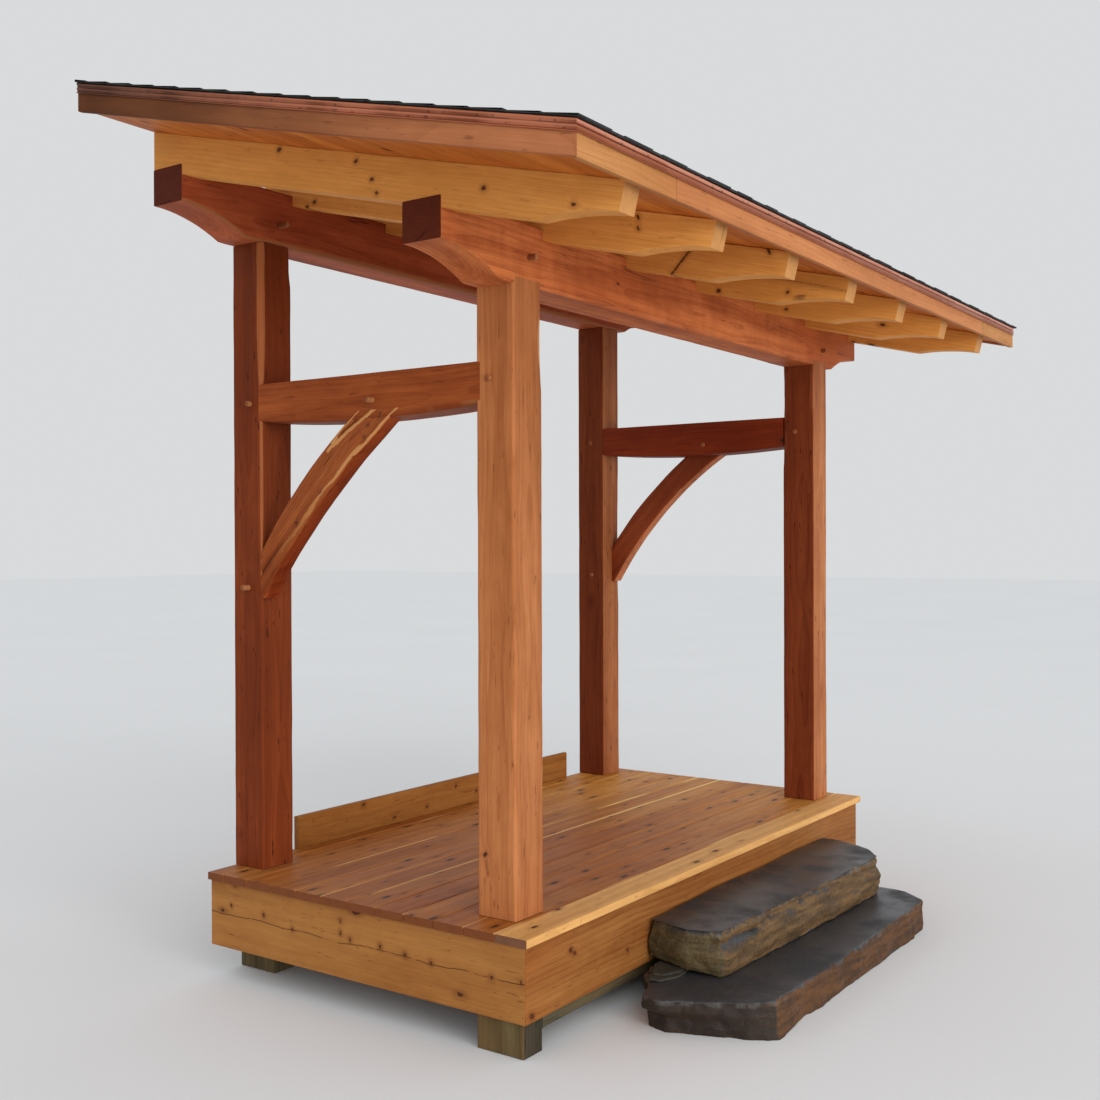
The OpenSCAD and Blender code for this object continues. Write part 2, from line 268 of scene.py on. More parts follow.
def break_faces(piece, foot, top, chips, layers, swell, seed):
    """Breaks the slab's sides into chips and layers and leaves its top gently uneven."""
    shift = Vector((seed, seed * 0.7, 0))
    normals = [vertex.normal.copy() for vertex in piece.data.vertices]
    for vertex, normal in zip(piece.data.vertices, normals):
        place = vertex.co + shift
        level = (vertex.co.z - foot) / (top - foot)
        flat = Vector((normal.x, normal.y, 0))
        side = min(1.0, flat.length)
        if side > 0.05:
            flat.normalize()
            cells = noise.voronoi(place * 11.0)[0]
            move = chips * (noise.fractal(place * 5.0, 1.0, 2.0,
                                          4) * 0.7 + (cells[1] - cells[0]) * 0.7 - 0.35)
            striped = Vector((place.x * 2.5, place.y * 2.5, place.z * 26.0))
            move += layers * noise.fractal(striped, 1.0, 2.0, 3) + swell(level)
            vertex.co += flat * side * min(move, 0.03)
        if normal.z > 0.3:
            wave = noise.fractal(place * 2.0, 1.0, 2.0, 2) * 0.004
            cleft = 0.0012 * math.tanh(5.0 * noise.noise(Vector((place.x * 3.0, place.y * 6.0, seed))))
            vertex.co.z = min(top, vertex.co.z + (wave + cleft) * normal.z - 0.003)
        vertex.co.z = max(foot, vertex.co.z)


lower_foot, lower_top = 0.0, 0.140
upper_top = 0.325
lower_outline = [(-0.86, 1.735), (-0.90, 1.775), (-0.965, 1.822), (-1.045, 1.838), (-1.100, 1.862),
                 (-1.105, 1.955), (-0.945, 2.245), (-0.862, 2.332), (-0.20, 2.344), (0.42, 2.342),
                 (0.815, 2.334), (0.940, 2.190), (0.950, 2.055), (0.965, 1.85), (0.965, 1.735)]
lower_step = slab("stone_step_lower", lower_outline, lower_foot, lower_top)
break_faces(lower_step, lower_foot, lower_top, 0.018, 0.005, lambda h: 0.004 * (1 - h) - 0.004, 3.1)
for vertex in lower_step.data.vertices:
    out, level = wall - vertex.co.y, (vertex.co.z - lower_foot) / (lower_top - lower_foot)
    at_left = share_of((-0.78 - vertex.co.x) / 0.10)
    below = share_of((0.66 - level) / 0.22)
    vertex.co.x += 0.060 * at_left * below * share_of((2.26 - out) / 0.35)
    near = max(0.0, 1 - math.hypot(vertex.co.x + 0.84, out - 2.31) / 0.17)
    vertex.co.x -= 0.020 * near * (1 - level)
    vertex.co.y -= 0.028 * near * (1 - level)
smooth(lower_step, 60)
fix(lower_step, stone_material("damp stone, lower", (0.044, 0.042, 0.044), (0.110, 0.040, 0.0054),
                               (0.030, 0.0125, 0.0030), lower_top, 1.3, 0.16), "rough_stone", "step_lower")

upper_outline = [(-0.750, 1.694), (-0.795, 1.90), (-0.752, 2.048), (-0.10, 2.080), (0.48, 2.098),
                 (0.810, 2.106), (0.935, 2.010), (0.985, 1.915), (1.040, 1.790), (1.048, 1.694)]


def upper_swell(level):
    """The upper slab bulges low down on its sides and leans back under its top."""
    return 0.014 * math.sin(math.pi * min(1.0, level * 1.4)) - 0.007 - 0.014 * max(0.0, level - 0.85) / 0.15


upper_step = slab("stone_step_upper", upper_outline, lower_top, upper_top)
break_faces(upper_step, lower_top, upper_top, 0.020, 0.008, upper_swell, 8.4)
back_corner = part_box("step_upper")[0]
front_corner = Vector((-0.760, wall - 2.055, upper_top))
chip = Vector((-0.42, -0.50, 0.76)).normalized()
seam_start, seam_stop = -0.74, 0.15
for vertex in upper_step.data.vertices:
    past = chip.dot(vertex.co - front_corner) + 0.030
    if past > 0:
        vertex.co -= chip * past * 0.9
    along, outward = (vertex.co.x - back_corner.x) / 0.20, (wall - vertex.co.y - 1.69) / 0.34
    near = max(0.0, 1 - along) * max(0.0, 1 - outward)
    level = (vertex.co.z - lower_top) / (upper_top - lower_top)
    vertex.co.z += 0.036 * near ** 0.6 * max(0.0, 1 - level) ** 1.5
    seam = 0.66 + 0.22 * (vertex.co.x - seam_start) / 0.80 + 0.06 * waver(vertex.co.x * 9.0)
    if wall - vertex.co.y > 1.98 and seam_start < vertex.co.x < seam_stop and level < 0.97:
        vertex.co.y += 0.012 * max(0.0, 1 - abs(level - seam) / 0.09)
smooth(upper_step, 60)
fix(upper_step, stone_material("damp stone, upper", (0.037, 0.0365, 0.037), (0.152, 0.080, 0.0245),
                               (0.103, 0.068, 0.022), upper_top, 6.2, 0.26), "rough_stone", "step_upper")

shims = []
for outline, foot, top, seed in (
        ([(-0.80, 1.745), (-0.64, 1.745), (-0.65, 1.88), (-0.84, 1.896), (-0.925, 1.862), (-0.94, 1.81)],
         0.140, 0.149, 2.0),
        ([(-0.79, 1.752), (-0.64, 1.752), (-0.65, 1.87), (-0.80, 1.885), (-0.885, 1.85), (-0.89, 1.80)],
         0.149, 0.157, 5.0)):
    shim = slab("shim", outline, foot, top, voxel=0.003)
    normals = [vertex.normal.copy() for vertex in shim.data.vertices]
    for vertex, normal in zip(shim.data.vertices, normals):
        sideways = Vector((normal.x, normal.y, 0))
        vertex.co += sideways * 0.010 * noise.fractal(vertex.co * 22.0 + Vector((seed, 0, 0)), 1.0, 2.0, 3)
    shims.append(shim)
shims = join(shims, "slate_shims")
smooth(shims, 50)
fix(shims, stone_material("thin slate", (0.060, 0.053, 0.037), (0.045, 0.038, 0.024), (0.058, 0.052, 0.033),
                          1.0, 9.0),
    "rough_stone", "step_shims")


# ---- Deck frame ----
# Pressure-treated softwood, rough sawn and greenish brown: joists nailed
# between two rims, on a beam behind the front skirt and one at the wall,
# which stand on short blocks cut from the same stock.

def wood(name, light, dark, grain="Z", tilt=0.0, seed=0.0, knots=0.5, knot_scale=6.0, face=None, streaks=1.0,
         flecks=0.5, checks=0.5, shake=None, blush=None, sap=None, ends=None, left=None, board=None,
         roughness=0.55,
         shine=0.08, rings=80.0, pith=(0.02, 0.03), knot_colour=(0.045, 0.018, 0.010), long_knots=0.5,
         marks=(),
         tint_ramp=None, curl=0.0, end_rings=0.3):
    """Solid wood with its rings, fibres, knots and checks running through the piece along its grain.
    face names the axis that a sawn board's wide face shows, so that knots go straight through it; board
    gives the axis, first edge and width of the boards that a piece is made up of; left tints the left face
    lighter or darker, as painted light and shade.
    marks are single knots and bark pockets, each from one place on the face to another, with its radius;
    fade gives an axis, two places on it and a tint laid on towards the second, which on the deck is a painted
    sheen and on the rake boards partly painted shade from the wall; curl ripples the tone across the grain."""
    material, tree, surface = start_material(name, shine=shine)
    coords = add(tree, "TexCoord")
    place, facing = coords.outputs["Object"], coords.outputs["Normal"]
    if tilt:
        place = add(tree, "Mapping", {"Vector": place, "Rotation": (-tilt, 0, 0)}).outputs[0]
        facing = add(tree, "Mapping", {"Vector": facing, "Rotation": (-tilt, 0, 0)}).outputs[0]
    split = parts(tree, place)
    order = {"X": "YZX", "Y": "XZY", "Z": "XYZ"}[grain]
    across, beside, lengthwise = (split["XYZ".index(c)] for c in order)
    chance = None
    if board:
        axis, first, width = board
        index = calc(tree, "FLOOR", calc(tree, "DIVIDE",
                                         calc(tree, "SUBTRACT", split["XYZ".index(axis)], first), width))
        chance = add(tree, "TexWhiteNoise", {"W": calc(tree, "ADD", index, seed)},
                     noise_dimensions="1D").outputs["Color"]
        chance = add(tree, "SeparateColor", {"Color": chance}).outputs
        lengthwise = calc(tree, "ADD", lengthwise, times(tree, chance[0], 9.0))
        beside = calc(tree, "ADD", beside, times(tree, chance[1], 0.3))
    stick = add(tree, "CombineXYZ", {0: across, 1: beside, 2: lengthwise}).outputs[0]
    here = vector(tree, "ADD", stick, (seed * 1.37, seed * 2.11, seed * 3.73))

    # knots: scattered egg-shaped cores, each with a halo that bends the grain round it
    spread = parts(tree, here)
    long_way = times(tree, spread[2], long_knots)
    if face:
        wide_way = spread[order.index(face)]
        egg = add(tree, "CombineXYZ", {0: wide_way, 1: long_way}).outputs[0]
    else:
        egg = add(tree, "CombineXYZ", {0: spread[0], 1: spread[1], 2: long_way}).outputs[0]
    cells = add(tree, "TexVoronoi", {"Vector": egg, "Scale": knot_scale, "Randomness": 1.0},
                voronoi_dimensions="2D" if face else "3D")
    distance = cells.outputs["Distance"]
    luck = add(tree, "SeparateColor", {"Color": cells.outputs["Color"]}).outputs
    present = grade(tree, luck[0], 1.0 - knots, 1.01 - knots)
    girth = grade(tree, luck[1], 0.0, 1.0, 0.030, 0.105)
    nearest = calc(tree, "DIVIDE", calc(tree, "SUBTRACT", distance, girth), knot_scale)
    nearest = calc(tree, "ADD", nearest, calc(tree, "SUBTRACT", 1.0, present))
    if marks:
        level = split["XYZ".index(face)]
        spot = add(tree, "CombineXYZ", {0: split["XYZ".index(grain)], 1: level}).outputs[0]
    for start, stop, radius in marks:
        start, stop = (turned(Vector(end), tilt) for end in (start, stop))
        run = stop - start
        away = vector(tree, "SUBTRACT", spot, (*start, 0.0))
        share = dot(tree, away, (*run, 0.0))
        share = calc(tree, "MULTIPLY", share, 1 / run.length_squared, clamp=True)
        nearer = add(tree, "VectorMath", {0: (*run, 0.0), "Scale": share}, operation="SCALE").outputs[0]
        away = vector_length(tree, vector(tree, "SUBTRACT", away, nearer))
        nearest = calc(tree, "MINIMUM", nearest, calc(tree, "SUBTRACT", away, radius))
    ragged = swing(tree, mottle(tree, here, 90.0, 2.0), 0.010)
    core = grade(tree, calc(tree, "ADD", nearest, ragged), 0.0012, -0.0022)
    halo = grade(tree, nearest, 0.030, 0.0)

    # rings round the pith, and long streaks, fibres and flecks along the grain
    sway = mottle(tree, here, 2.2, 2.0, stretch=(1, 1, 0.35), out="Color")
    sway = vector(tree, "MULTIPLY", vector(tree, "SUBTRACT", sway, (0.5, 0.5, 0.5)), (0.085, 0.085, 0.0))
    bent = vector(tree, "ADD", vector(tree, "SUBTRACT", stick, (pith[0], pith[1], 0.0)), sway)
    radius = vector_length(tree, vector(tree, "MULTIPLY", bent, (1.0, 1.0, 0.02)))
    radius = calc(tree, "ADD", radius, times(tree, halo, 0.011))
    late = calc(tree, "POWER", calc(tree, "FRACT", times(tree, radius, rings)), 3.0)
    band = calc(tree, "SINE", times(tree, radius, rings * 1.3))
    streak = mottle(tree, here, 14.0, 3.0, stretch=(1, 1, 0.045), rough=0.6)
    fibre = mottle(tree, here, 190.0, 2.0, stretch=(1, 1, 0.022))
    patch = mottle(tree, here, 3.2, 3.0, stretch=(1, 1, 0.35))
    figure = mottle(tree, here, 24.0, 2.0, stretch=(1, 1, 0.45))
    tone = swing(tree, streak, 1.7 * streaks)
    tone = calc(tree, "SUBTRACT", tone, times(tree, late, 0.42 * streaks))
    tone = calc(tree, "ADD", tone, times(tree, band, 0.13 * streaks))
    tone = calc(tree, "ADD", tone, swing(tree, fibre, 1.0))
    tone = calc(tree, "ADD", tone, swing(tree, figure, 0.55))
    if curl:
        ripple = mottle(tree, here, 15.0, 3.0, stretch=(0.3, 0.3, 1.0))
        tone = calc(tree, "ADD", tone, swing(tree, ripple, 2.0 * curl))
    tone = calc(tree, "ADD", tone, 0.62, clamp=True)
    colour = mix(tree, tone, dark, light)
    if blush:
        colour = mix(tree, grade(tree, patch, 0.40, 0.66, 0.0, 0.85), colour,
                     mix(tree, tone, [c * 0.72 for c in blush], blush))
    if chance:
        share = times(tree, chance[2], 0.65)
        redder = [[c * m for c, m in zip(shade, (0.74, 0.56, 0.54))] for shade in (dark, light)]
        colour = mix(tree, share, colour, mix(tree, tone, *redder))
    specks = mottle(tree, here, 70.0, 2.0, stretch=(1, 1, 0.16))
    specks = times(tree, grade(tree, specks, 0.66, 0.72), flecks)
    colour = mix(tree, specks, colour, [c * 0.45 for c in dark])
    ruddy = mix(tree, 0.45, dark, knot_colour)
    colour = mix(tree, times(tree, calc(tree, "POWER", halo, 3.0), 0.50), colour, ruddy)
    colour = mix(tree, times(tree, core, 0.94), colour, knot_colour)

    # drying checks: thin dark splits that come and go along the grain, and at most one long shake
    crack = mottle(tree, here, 16.0, 1.0, stretch=(1, 1, 0.03))
    crack = grade(tree, calc(tree, "ABSOLUTE", calc(tree, "SUBTRACT", crack, 0.5)), 0.006, 0.0)
    crack = times(tree, crack, grade(tree, patch, 0.70 - 0.2 * checks, 0.76 - 0.2 * checks))
    if shake:
        wobble = swing(tree, mottle(tree, here, 3.0, 4.0, stretch=(0, 0, 1)), 0.06)
        apart = calc(tree, "ABSOLUTE", calc(tree, "SUBTRACT", calc(tree, "ADD", beside, wobble), shake))
        gate = mottle(tree, here, 5.0, 3.0, stretch=(0, 0, 1), rough=0.7)
        crack = calc(tree, "MAXIMUM", crack, times(tree, grade(tree, apart, 0.0026, 0.0008),
                                                  grade(tree, gate, 0.40, 0.50)))
    colour = mix(tree, times(tree, crack, 0.85), colour, [c * 0.18 for c in dark])
    if sap:
        edge = add(tree, "Attribute", attribute_name="wane").outputs["Fac"]
        torn = calc(tree, "ADD", edge, swing(tree, streak, 0.8))
        torn = times(tree, grade(tree, torn, 0.30, 0.55), grade(tree, edge, 0.02, 0.12))
        # A wane value below nothing darkens the colour: real splits, and on the left brace also painted shade
        # in its grooves.
        colour = mix(tree, grade(tree, edge, -0.2, -1.0, 0.0, 0.65), colour, [c * 0.30 for c in dark])
        fresh = mix(tree, calc(tree, "ADD", fibre, 0.15), [c * 0.55 for c in sap], sap)
        colour = mix(tree, torn, colour, fresh)
    # Painted light and shade: faces turned to the left are tinted lighter or darker than the rest.
    if left:
        sideways = parts(tree, facing)["X"]
        colour = tinted(tree, grade(tree, sideways, -0.35, -0.75), colour, left)
    if ends:
        cut = parts(tree, facing)["XYZ".index(grain)]
        is_end = grade(tree, calc(tree, "ABSOLUTE", cut), 0.80, 0.9)
        rough_end = calc(tree, "ADD", times(tree, late, end_rings), times(tree, figure, 0.6))
        rough_end = mix(tree, rough_end, ends, [c * 0.45 for c in ends])
        aim = (math.cos(seed * 2.0 + 0.6), math.sin(seed * 2.0 + 0.6), 0)
        apart = dot(tree, bent, aim)
        heart_check = times(tree, grade(tree, calc(tree, "ABSOLUTE", apart), 0.0022, 0.0008),
                           grade(tree, radius, 0.085, 0.060))
        rough_end = mix(tree, heart_check, rough_end, [c * 0.12 for c in ends])
        colour = mix(tree, is_end, colour, rough_end)
    # A tint ramp along one axis: a painted sheen on the deck, partly painted wall shade on the rake boards.
    if tint_ramp:
        axis, here_from, here_to, tint = tint_ramp
        share = grade(tree, split["XYZ".index(axis)], here_from, here_to)
        colour = tinted(tree, share, colour, tint)
    gloss = grade(tree, fibre, 0.3, 0.7, roughness - 0.07, roughness + 0.10)
    height = calc(tree, "SUBTRACT", times(tree, fibre, 0.5), times(tree, late, 0.2))
    height = calc(tree, "SUBTRACT", height, times(tree, crack, 0.9))
    height = calc(tree, "SUBTRACT", height, times(tree, core, 0.3))
    dress(tree, surface, colour, gloss, height, 0.003, 0.4)
    return material


def turned(place, tilt):
    """A place along and up a tilted timber, from one along and above the ground."""
    return Matrix.Rotation(-tilt, 2) @ place


def vector_length(tree, value):
    return add(tree, "VectorMath", {0: value}, operation="LENGTH").outputs["Value"]


def pick_edges(piece, test):
    """Selects, in edit mode, the edges whose two ends pass a test."""
    mesh = bmesh.from_edit_mesh(piece.data)
    for edge in mesh.edges:
        edge.select_set(False)
    for edge in mesh.edges:
        if test(edge.verts[0].co, edge.verts[1].co):
            edge.select_set(True)
    bmesh.update_edit_mesh(piece.data)


corner_cut, corner_steps, end_chamfer = 0.012, 5, 0.002


def timber(name, low, high, grain, spacing=0.04, lanes=0):
    """A timber between two corners: its long edges are rounded, it is ringed with cuts along its grain,
    and its ends are eased. lanes adds lengthwise cuts across its faces, to carry deeper grooves."""
    pick()
    low, high = Vector(low), Vector(high)
    axis = "XYZ".index(grain)
    low[axis] += end_chamfer
    high[axis] -= end_chamfer
    bpy.ops.mesh.primitive_cube_add(size=1, location=(low + high) / 2, scale=high - low)
    piece = bpy.context.object
    piece.name = piece.data.name = name
    bpy.ops.object.transform_apply(location=True, rotation=True, scale=True)
    length = (high - low)[axis]
    cut = min(corner_cut, 0.35 * min((high - low)[i] for i in range(3) if i != axis))
    bpy.ops.object.mode_set(mode="EDIT")
    bpy.ops.mesh.select_mode(type="EDGE")
    pick_edges(piece, lambda a, b: abs((b - a)[axis]) > 0.5 * length)
    bpy.ops.mesh.subdivide(number_cuts=max(1, round(length / spacing)))
    pick_edges(piece, lambda a, b: abs((b - a).normalized()[axis]) > 0.9)
    bpy.ops.mesh.bevel(offset=cut, segments=corner_steps)
    if lanes:
        pick_edges(piece, lambda a, b: abs(b[axis] - a[axis]) < 1e-4 and (b - a).length > 1.2 * cut)
        bpy.ops.mesh.subdivide(number_cuts=lanes)
    for at_end in (low[axis], high[axis]):
        mesh = bmesh.from_edit_mesh(piece.data)
        for cap in mesh.faces:
            cap.select_set(all(abs(v.co[axis] - at_end) < 1e-4 for v in cap.verts))
        mesh.select_flush_mode()
        bmesh.update_edit_mesh(piece.data)
        bpy.ops.mesh.select_mode(type="FACE")
        bpy.ops.mesh.inset(thickness=end_chamfer, depth=end_chamfer)
        bpy.ops.mesh.select_mode(type="EDGE")
    bpy.ops.object.mode_set(mode="OBJECT")
    piece.data["cut"] = cut
    return piece


def another(piece, name, move=(0, 0, 0)):
    """Another piece like the first, with a mesh of its own, moved into its place."""
    mesh = piece.data.copy()
    mesh.name = name
    mesh.transform(Matrix.Translation(move))
    made = bpy.data.objects.new(name, mesh)
    bpy.context.scene.collection.objects.link(made)
    return made


def work_edges(piece, grain, width, pale=None, torn=0.0):
    """Works the rounded edges by hand. width gives how wide each one is at a place along the timber, and
    pale how much of the log's lighter outside shows there; torn roughens the wide ones."""
    axis = "XYZ".index(grain)
    others = [i for i in range(3) if i != axis]
    cut = piece.data["cut"]
    points = [v.co.copy() for v in piece.data.vertices]
    low = [min(p[i] for p in points) for i in range(3)]
    high = [max(p[i] for p in points) for i in range(3)]
    room = [0.46 * (high[i] - low[i]) for i in range(3)]
    shown = piece.data.attributes.new("wane", "FLOAT", "POINT")
    for vertex, point in zip(piece.data.vertices, points):
        corner = tuple(1 if point[i] > (low[i] + high[i]) / 2 else -1 for i in others)
        deep = [high[i] - point[i] if side > 0 else point[i] - low[i] for i, side in zip(others, corner)]
        wide = width(corner, point[axis])
        margin = 0.010
        if max(deep) > cut * 1.02:
            for k, i in enumerate(others):
                if deep[k] > cut * 1.02:
                    start = min(wide + margin, room[i])
                    deep[k] = start + (deep[k] - cut) * (2 * room[i] - start) / (2 * room[i] - cut)
        else:
            from_centre = math.hypot(cut - deep[0], cut - deep[1])
            inset = max(0.0, cut - from_centre)
            step = round(math.atan2(cut - deep[1], cut - deep[0]) / (math.pi / 2) * corner_steps)
            reach = [min(wide + margin, room[i]) for i in others]
            wide_0, wide_1 = min(wide, reach[0] - 0.001), min(wide, reach[1] - 0.001)
            ragged = torn * max(0.0, wide - 0.012) * noise.fractal(point * 26.0, 1.0, 2.0, 2)
            deep = [(0.0, reach[1]), (0.0, wide_1), (0.134 * wide_0 + ragged, 0.50 * wide_1 + ragged),
                    (0.50 * wide_0 + ragged, 0.134 * wide_1 + ragged), (wide_0, 0.0), (reach[0], 0.0)][step]
            turn = min(max(step - 1, 0), 3) / 3 * math.pi / 2
            deep = [deep[0] + inset * math.cos(turn), deep[1] + inset * math.sin(turn)]
            if 1 <= step <= 4:
                share = pale(corner, point[axis]) if pale else (wide - 0.013) / 0.008
                shown.data[vertex.index].value = share_of(share)
        for k, (i, side) in enumerate(zip(others, corner)):
            vertex.co[i] = high[i] - deep[k] if side > 0 else low[i] + deep[k]


def hand(seed, plain=0.005, rough=0.003, wanes=()):
    """The width of a worked edge; each wane is (corner, middle, half length, extra width)."""
    def width(corner, place):
        here = Vector((seed + 3.1 * corner[0], 5.3 * corner[1], place * 5.0))
        wide = plain + rough * noise.fractal(here, 1.0, 2.0, 3)
        for where, middle, half, extra in wanes:
            if where == corner:
                share = max(0.0, 1 - abs((place - middle) / half) ** 3)
                wide += extra * share ** 0.5 * (1 + 0.35 * noise.noise(here * 1.7))
        return max(0.003, wide)
    return width


def board_of(name, low, high, grain, spacing, width):
    """A timber with its edges worked alike."""
    piece = timber(name, low, high, grain, spacing)
    work_edges(piece, grain, width)
    return piece


treated_light, treated_dark = (0.155, 0.105, 0.050), (0.070, 0.052, 0.026)
for number, (node, grain) in enumerate((
        ("beam_front", "X"), ("beam_rear", "X"), ("rim_front", "X"), ("rim_rear", "X"),
        ("footing_front_left", "Z"), ("footing_front_right", "Z"),
        ("footing_rear_left", "Z"), ("footing_rear_right", "Z"))):
    piece = board_of(node + "_treated", *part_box(node), grain, 0.08, hand(number * 1.9, 0.004, 0.002))
    smooth(piece)
    # The front left footing's colours are darkened as painted shade, for the dark gap under the deck's front,
    # and its left tint lifts its left face back up as painted light.
    front_left = node == "footing_front_left"
    shades = [[c * m for c, m in zip(shade, (0.42, 0.46, 0.60) if front_left else (1, 1, 1))]
              for shade in (treated_light, treated_dark)]
    fix(piece, wood("treated softwood, " + node, *shades, grain, seed=number + 0.4,
                    left=(2.4, 2.0, 1.3) if front_left else None, knots=0.25, checks=0.9,
                    ends=(0.10, 0.095, 0.075), roughness=0.75, rings=45.0,
                    blush=(0.085, 0.082, 0.055)), "treated_timber", node)

joist_low, joist_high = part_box("deck_joists")
joist_wide, joist_count = 0.038, 9
joist_step = (joist_high.x - joist_low.x - joist_wide) / (joist_count - 1)
first = timber("joist", joist_low, (joist_low.x + joist_wide, joist_high.y, joist_high.z), "Y", 0.2)
joists = [first] + [another(first, "joist", (number * joist_step, 0, 0)) for number in range(1, joist_count)]
for number, joist in enumerate(joists):
    work_edges(joist, "Y", hand(number * 0.7, 0.003, 0.001))
joists = join(joists, "joists_treated")
smooth(joists)
fix(joists, wood("treated softwood, joists", treated_light, treated_dark, "Y", seed=3.3, knots=0.3,
                 checks=0.6,
                 roughness=0.75, board=("X", -2.0, joist_step), ends=(0.10, 0.095, 0.075)),
    "treated_timber", "deck_joists")


# ---- Skirts ----
# Wide cedar boards, oiled golden, with loose dark knots and a long shake.
# They hide the deck's frame and meet at the corners in mitres.

front_low, front_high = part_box("skirt_front")
cedar_light, cedar_dark = (0.400, 0.168, 0.043), (0.237, 0.075, 0.017)


def mitre(piece, corner, turn):
    """Cuts a piece off along an upright plane through a corner, turned about it in degrees."""
    cut_off(piece, (corner, (math.cos(math.radians(turn)), math.sin(math.radians(turn)), 0)))


skirt_front = board_of("skirt_front_board", front_low, front_high, "X", 0.06, hand(2.0, 0.003, 0.0015))
mitre(skirt_front, (front_low.x, front_low.y, 0), 135)
mitre(skirt_front, (front_high.x, front_low.y, 0), 45)
smooth(skirt_front)
fix(skirt_front, wood("golden cedar, front skirt", (0.335, 0.137, 0.035), (0.198, 0.061, 0.014), "X",
                      seed=4.6, knots=0.12,
                      knot_scale=7.0, face="Z", streaks=1.0, rings=60.0, pith=(0.2, 0.9), checks=0.4,
                      marks=(((-1.308, 0.337), (-1.302, 0.335), 0.010),
                             ((-1.284, 0.322), (-1.278, 0.318), 0.008),
                             ((-0.901, 0.233), (-0.895, 0.230), 0.006),
                             ((-1.560, 0.164), (-1.552, 0.160), 0.010)),
                      blush=(0.31, 0.099, 0.022), knot_colour=(0.09, 0.022, 0.009)),
    "golden_timber", "skirt_front")
skirt_knots = [((y, z), (y + 0.001, z + tall), radius) for y, z, tall, radius in (
    (1.059, 0.322, 0.005, 0.005), (0.858, 0.314, 0.006, 0.006), (0.686, 0.283, 0.004, 0.005),
    (0.413, 0.362, 0.009, 0.003),
    (0.413, 0.312, 0.012, 0.004), (0.360, 0.297, 0.004, 0.005), (0.199, 0.299, 0.004, 0.006),
    (0.069, 0.290, 0.004, 0.006),
    (-0.062, 0.284, 0.003, 0.005), (-0.352, 0.282, 0.004, 0.006), (-0.487, 0.288, 0.006, 0.005))]
for side, node in ((-1, "skirt_left"), (1, "skirt_right")):
    low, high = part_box(node)
    low = Vector((low.x, front_low.y, low.z))
    board = board_of(node + "_board", low, high, "Y", 0.06, hand(5.0 + side, 0.003, 0.0015))
    corner = (front_low.x if side < 0 else front_high.x, front_low.y, 0)
    mitre(board, corner, -45 if side < 0 else 225)
    smooth(board)
    fix(board, wood("golden cedar, " + node, cedar_light, cedar_dark, "Y", seed=7.7 + side, knots=0.15,
                    knot_scale=9.0, face="Z", streaks=0.7, rings=45.0, pith=(0.9, 0.3), checks=0.8,
                    marks=skirt_knots if side < 0 else (),
                    shake=0.283 if side < 0 else None, blush=(0.43, 0.185, 0.048),
                    knot_colour=(0.075, 0.022, 0.010)),
        "golden_timber", node)


# ---- Deck boards ----
# Reddish cedar boards laid along the wall with narrow gaps, their eased
# edges worn pale, and one golden border board along the front edge. Knots
# run dark and long, and the sawn ends show along the deck's left side.

deck_low, deck_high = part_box("deck_boards")
pitch, gap, ripped_width = 0.147, 0.004, 0.096


def deck_edge(seed):
    """A deck board's front top edge is worn widest, and palest."""
    plain = hand(seed, 0.0034, 0.001)
    worn = 0.35 + 0.55 * waver(seed * 1.7)
    return (lambda corner, place: plain(corner, place) * (1.35 if corner == (-1, 1) else 1.0),
            lambda corner,
            place: worn + 0.5 * noise.noise(Vector((place * 2.2, seed, 0))) if corner == (-1, 1) else 0.0)


first = timber("board", deck_low, (deck_high.x, deck_low.y + pitch - gap, deck_high.z), "X", 0.25)
boards = [first]
while deck_low.y + len(boards) * pitch < wall - ripped_width - 0.01:
    boards.append(another(first, "board", (0, len(boards) * pitch, 0)))
boards.append(timber("board", (deck_low.x, deck_low.y + len(boards) * pitch, deck_low.z),
                     (deck_high.x, wall, deck_high.z), "X", 0.25))
for number, board in enumerate(boards):
    width, pale = deck_edge(number * 2.3)
    work_edges(board, "X", width, pale)
boards = join(boards, "deck_boards_laid")
smooth(boards)
# The deck's colour grows lighter towards its right end: a painted sheen.
fix(boards, wood("reddish cedar decking", (0.455, 0.158, 0.028), (0.240, 0.066, 0.009), "X", seed=2.2,
                 knots=0.50,
                 knot_scale=11.5, long_knots=0.33, face="Y", streaks=1.0, rings=90.0, pith=(0.3, 0.6),
                 checks=0.4,
                 board=("Y", deck_low.y - gap / 2, pitch), sap=(0.66, 0.36, 0.13), ends=(0.228, 0.064, 0.017),
                 blush=(0.50, 0.195, 0.045), knot_colour=(0.010, 0.004, 0.002), roughness=0.50, shine=0.15,
                 tint_ramp=("X", -0.5, 1.5, (1.58, 2.05, 2.00))),
    "decking", "deck_boards")
border_low, border_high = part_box("deck_border_board")
border = board_of("border_board", border_low, border_high - Vector((0, gap / 2, 0)), "X", 0.1,
                  hand(8.0, 0.0045, 0.001))
smooth(border)
fix(border, wood("golden cedar, border", (0.78, 0.43, 0.150), (0.52, 0.240, 0.068), "X", seed=6.1, knots=0.42,
                 knot_scale=11.0, long_knots=0.4, face="Y", streaks=0.8, rings=80.0, pith=(0.4, 0.5),
                 checks=0.2,
                 ends=(0.22, 0.095, 0.05), knot_colour=(0.035, 0.014, 0.008)), "golden_timber",
    "deck_border_board")

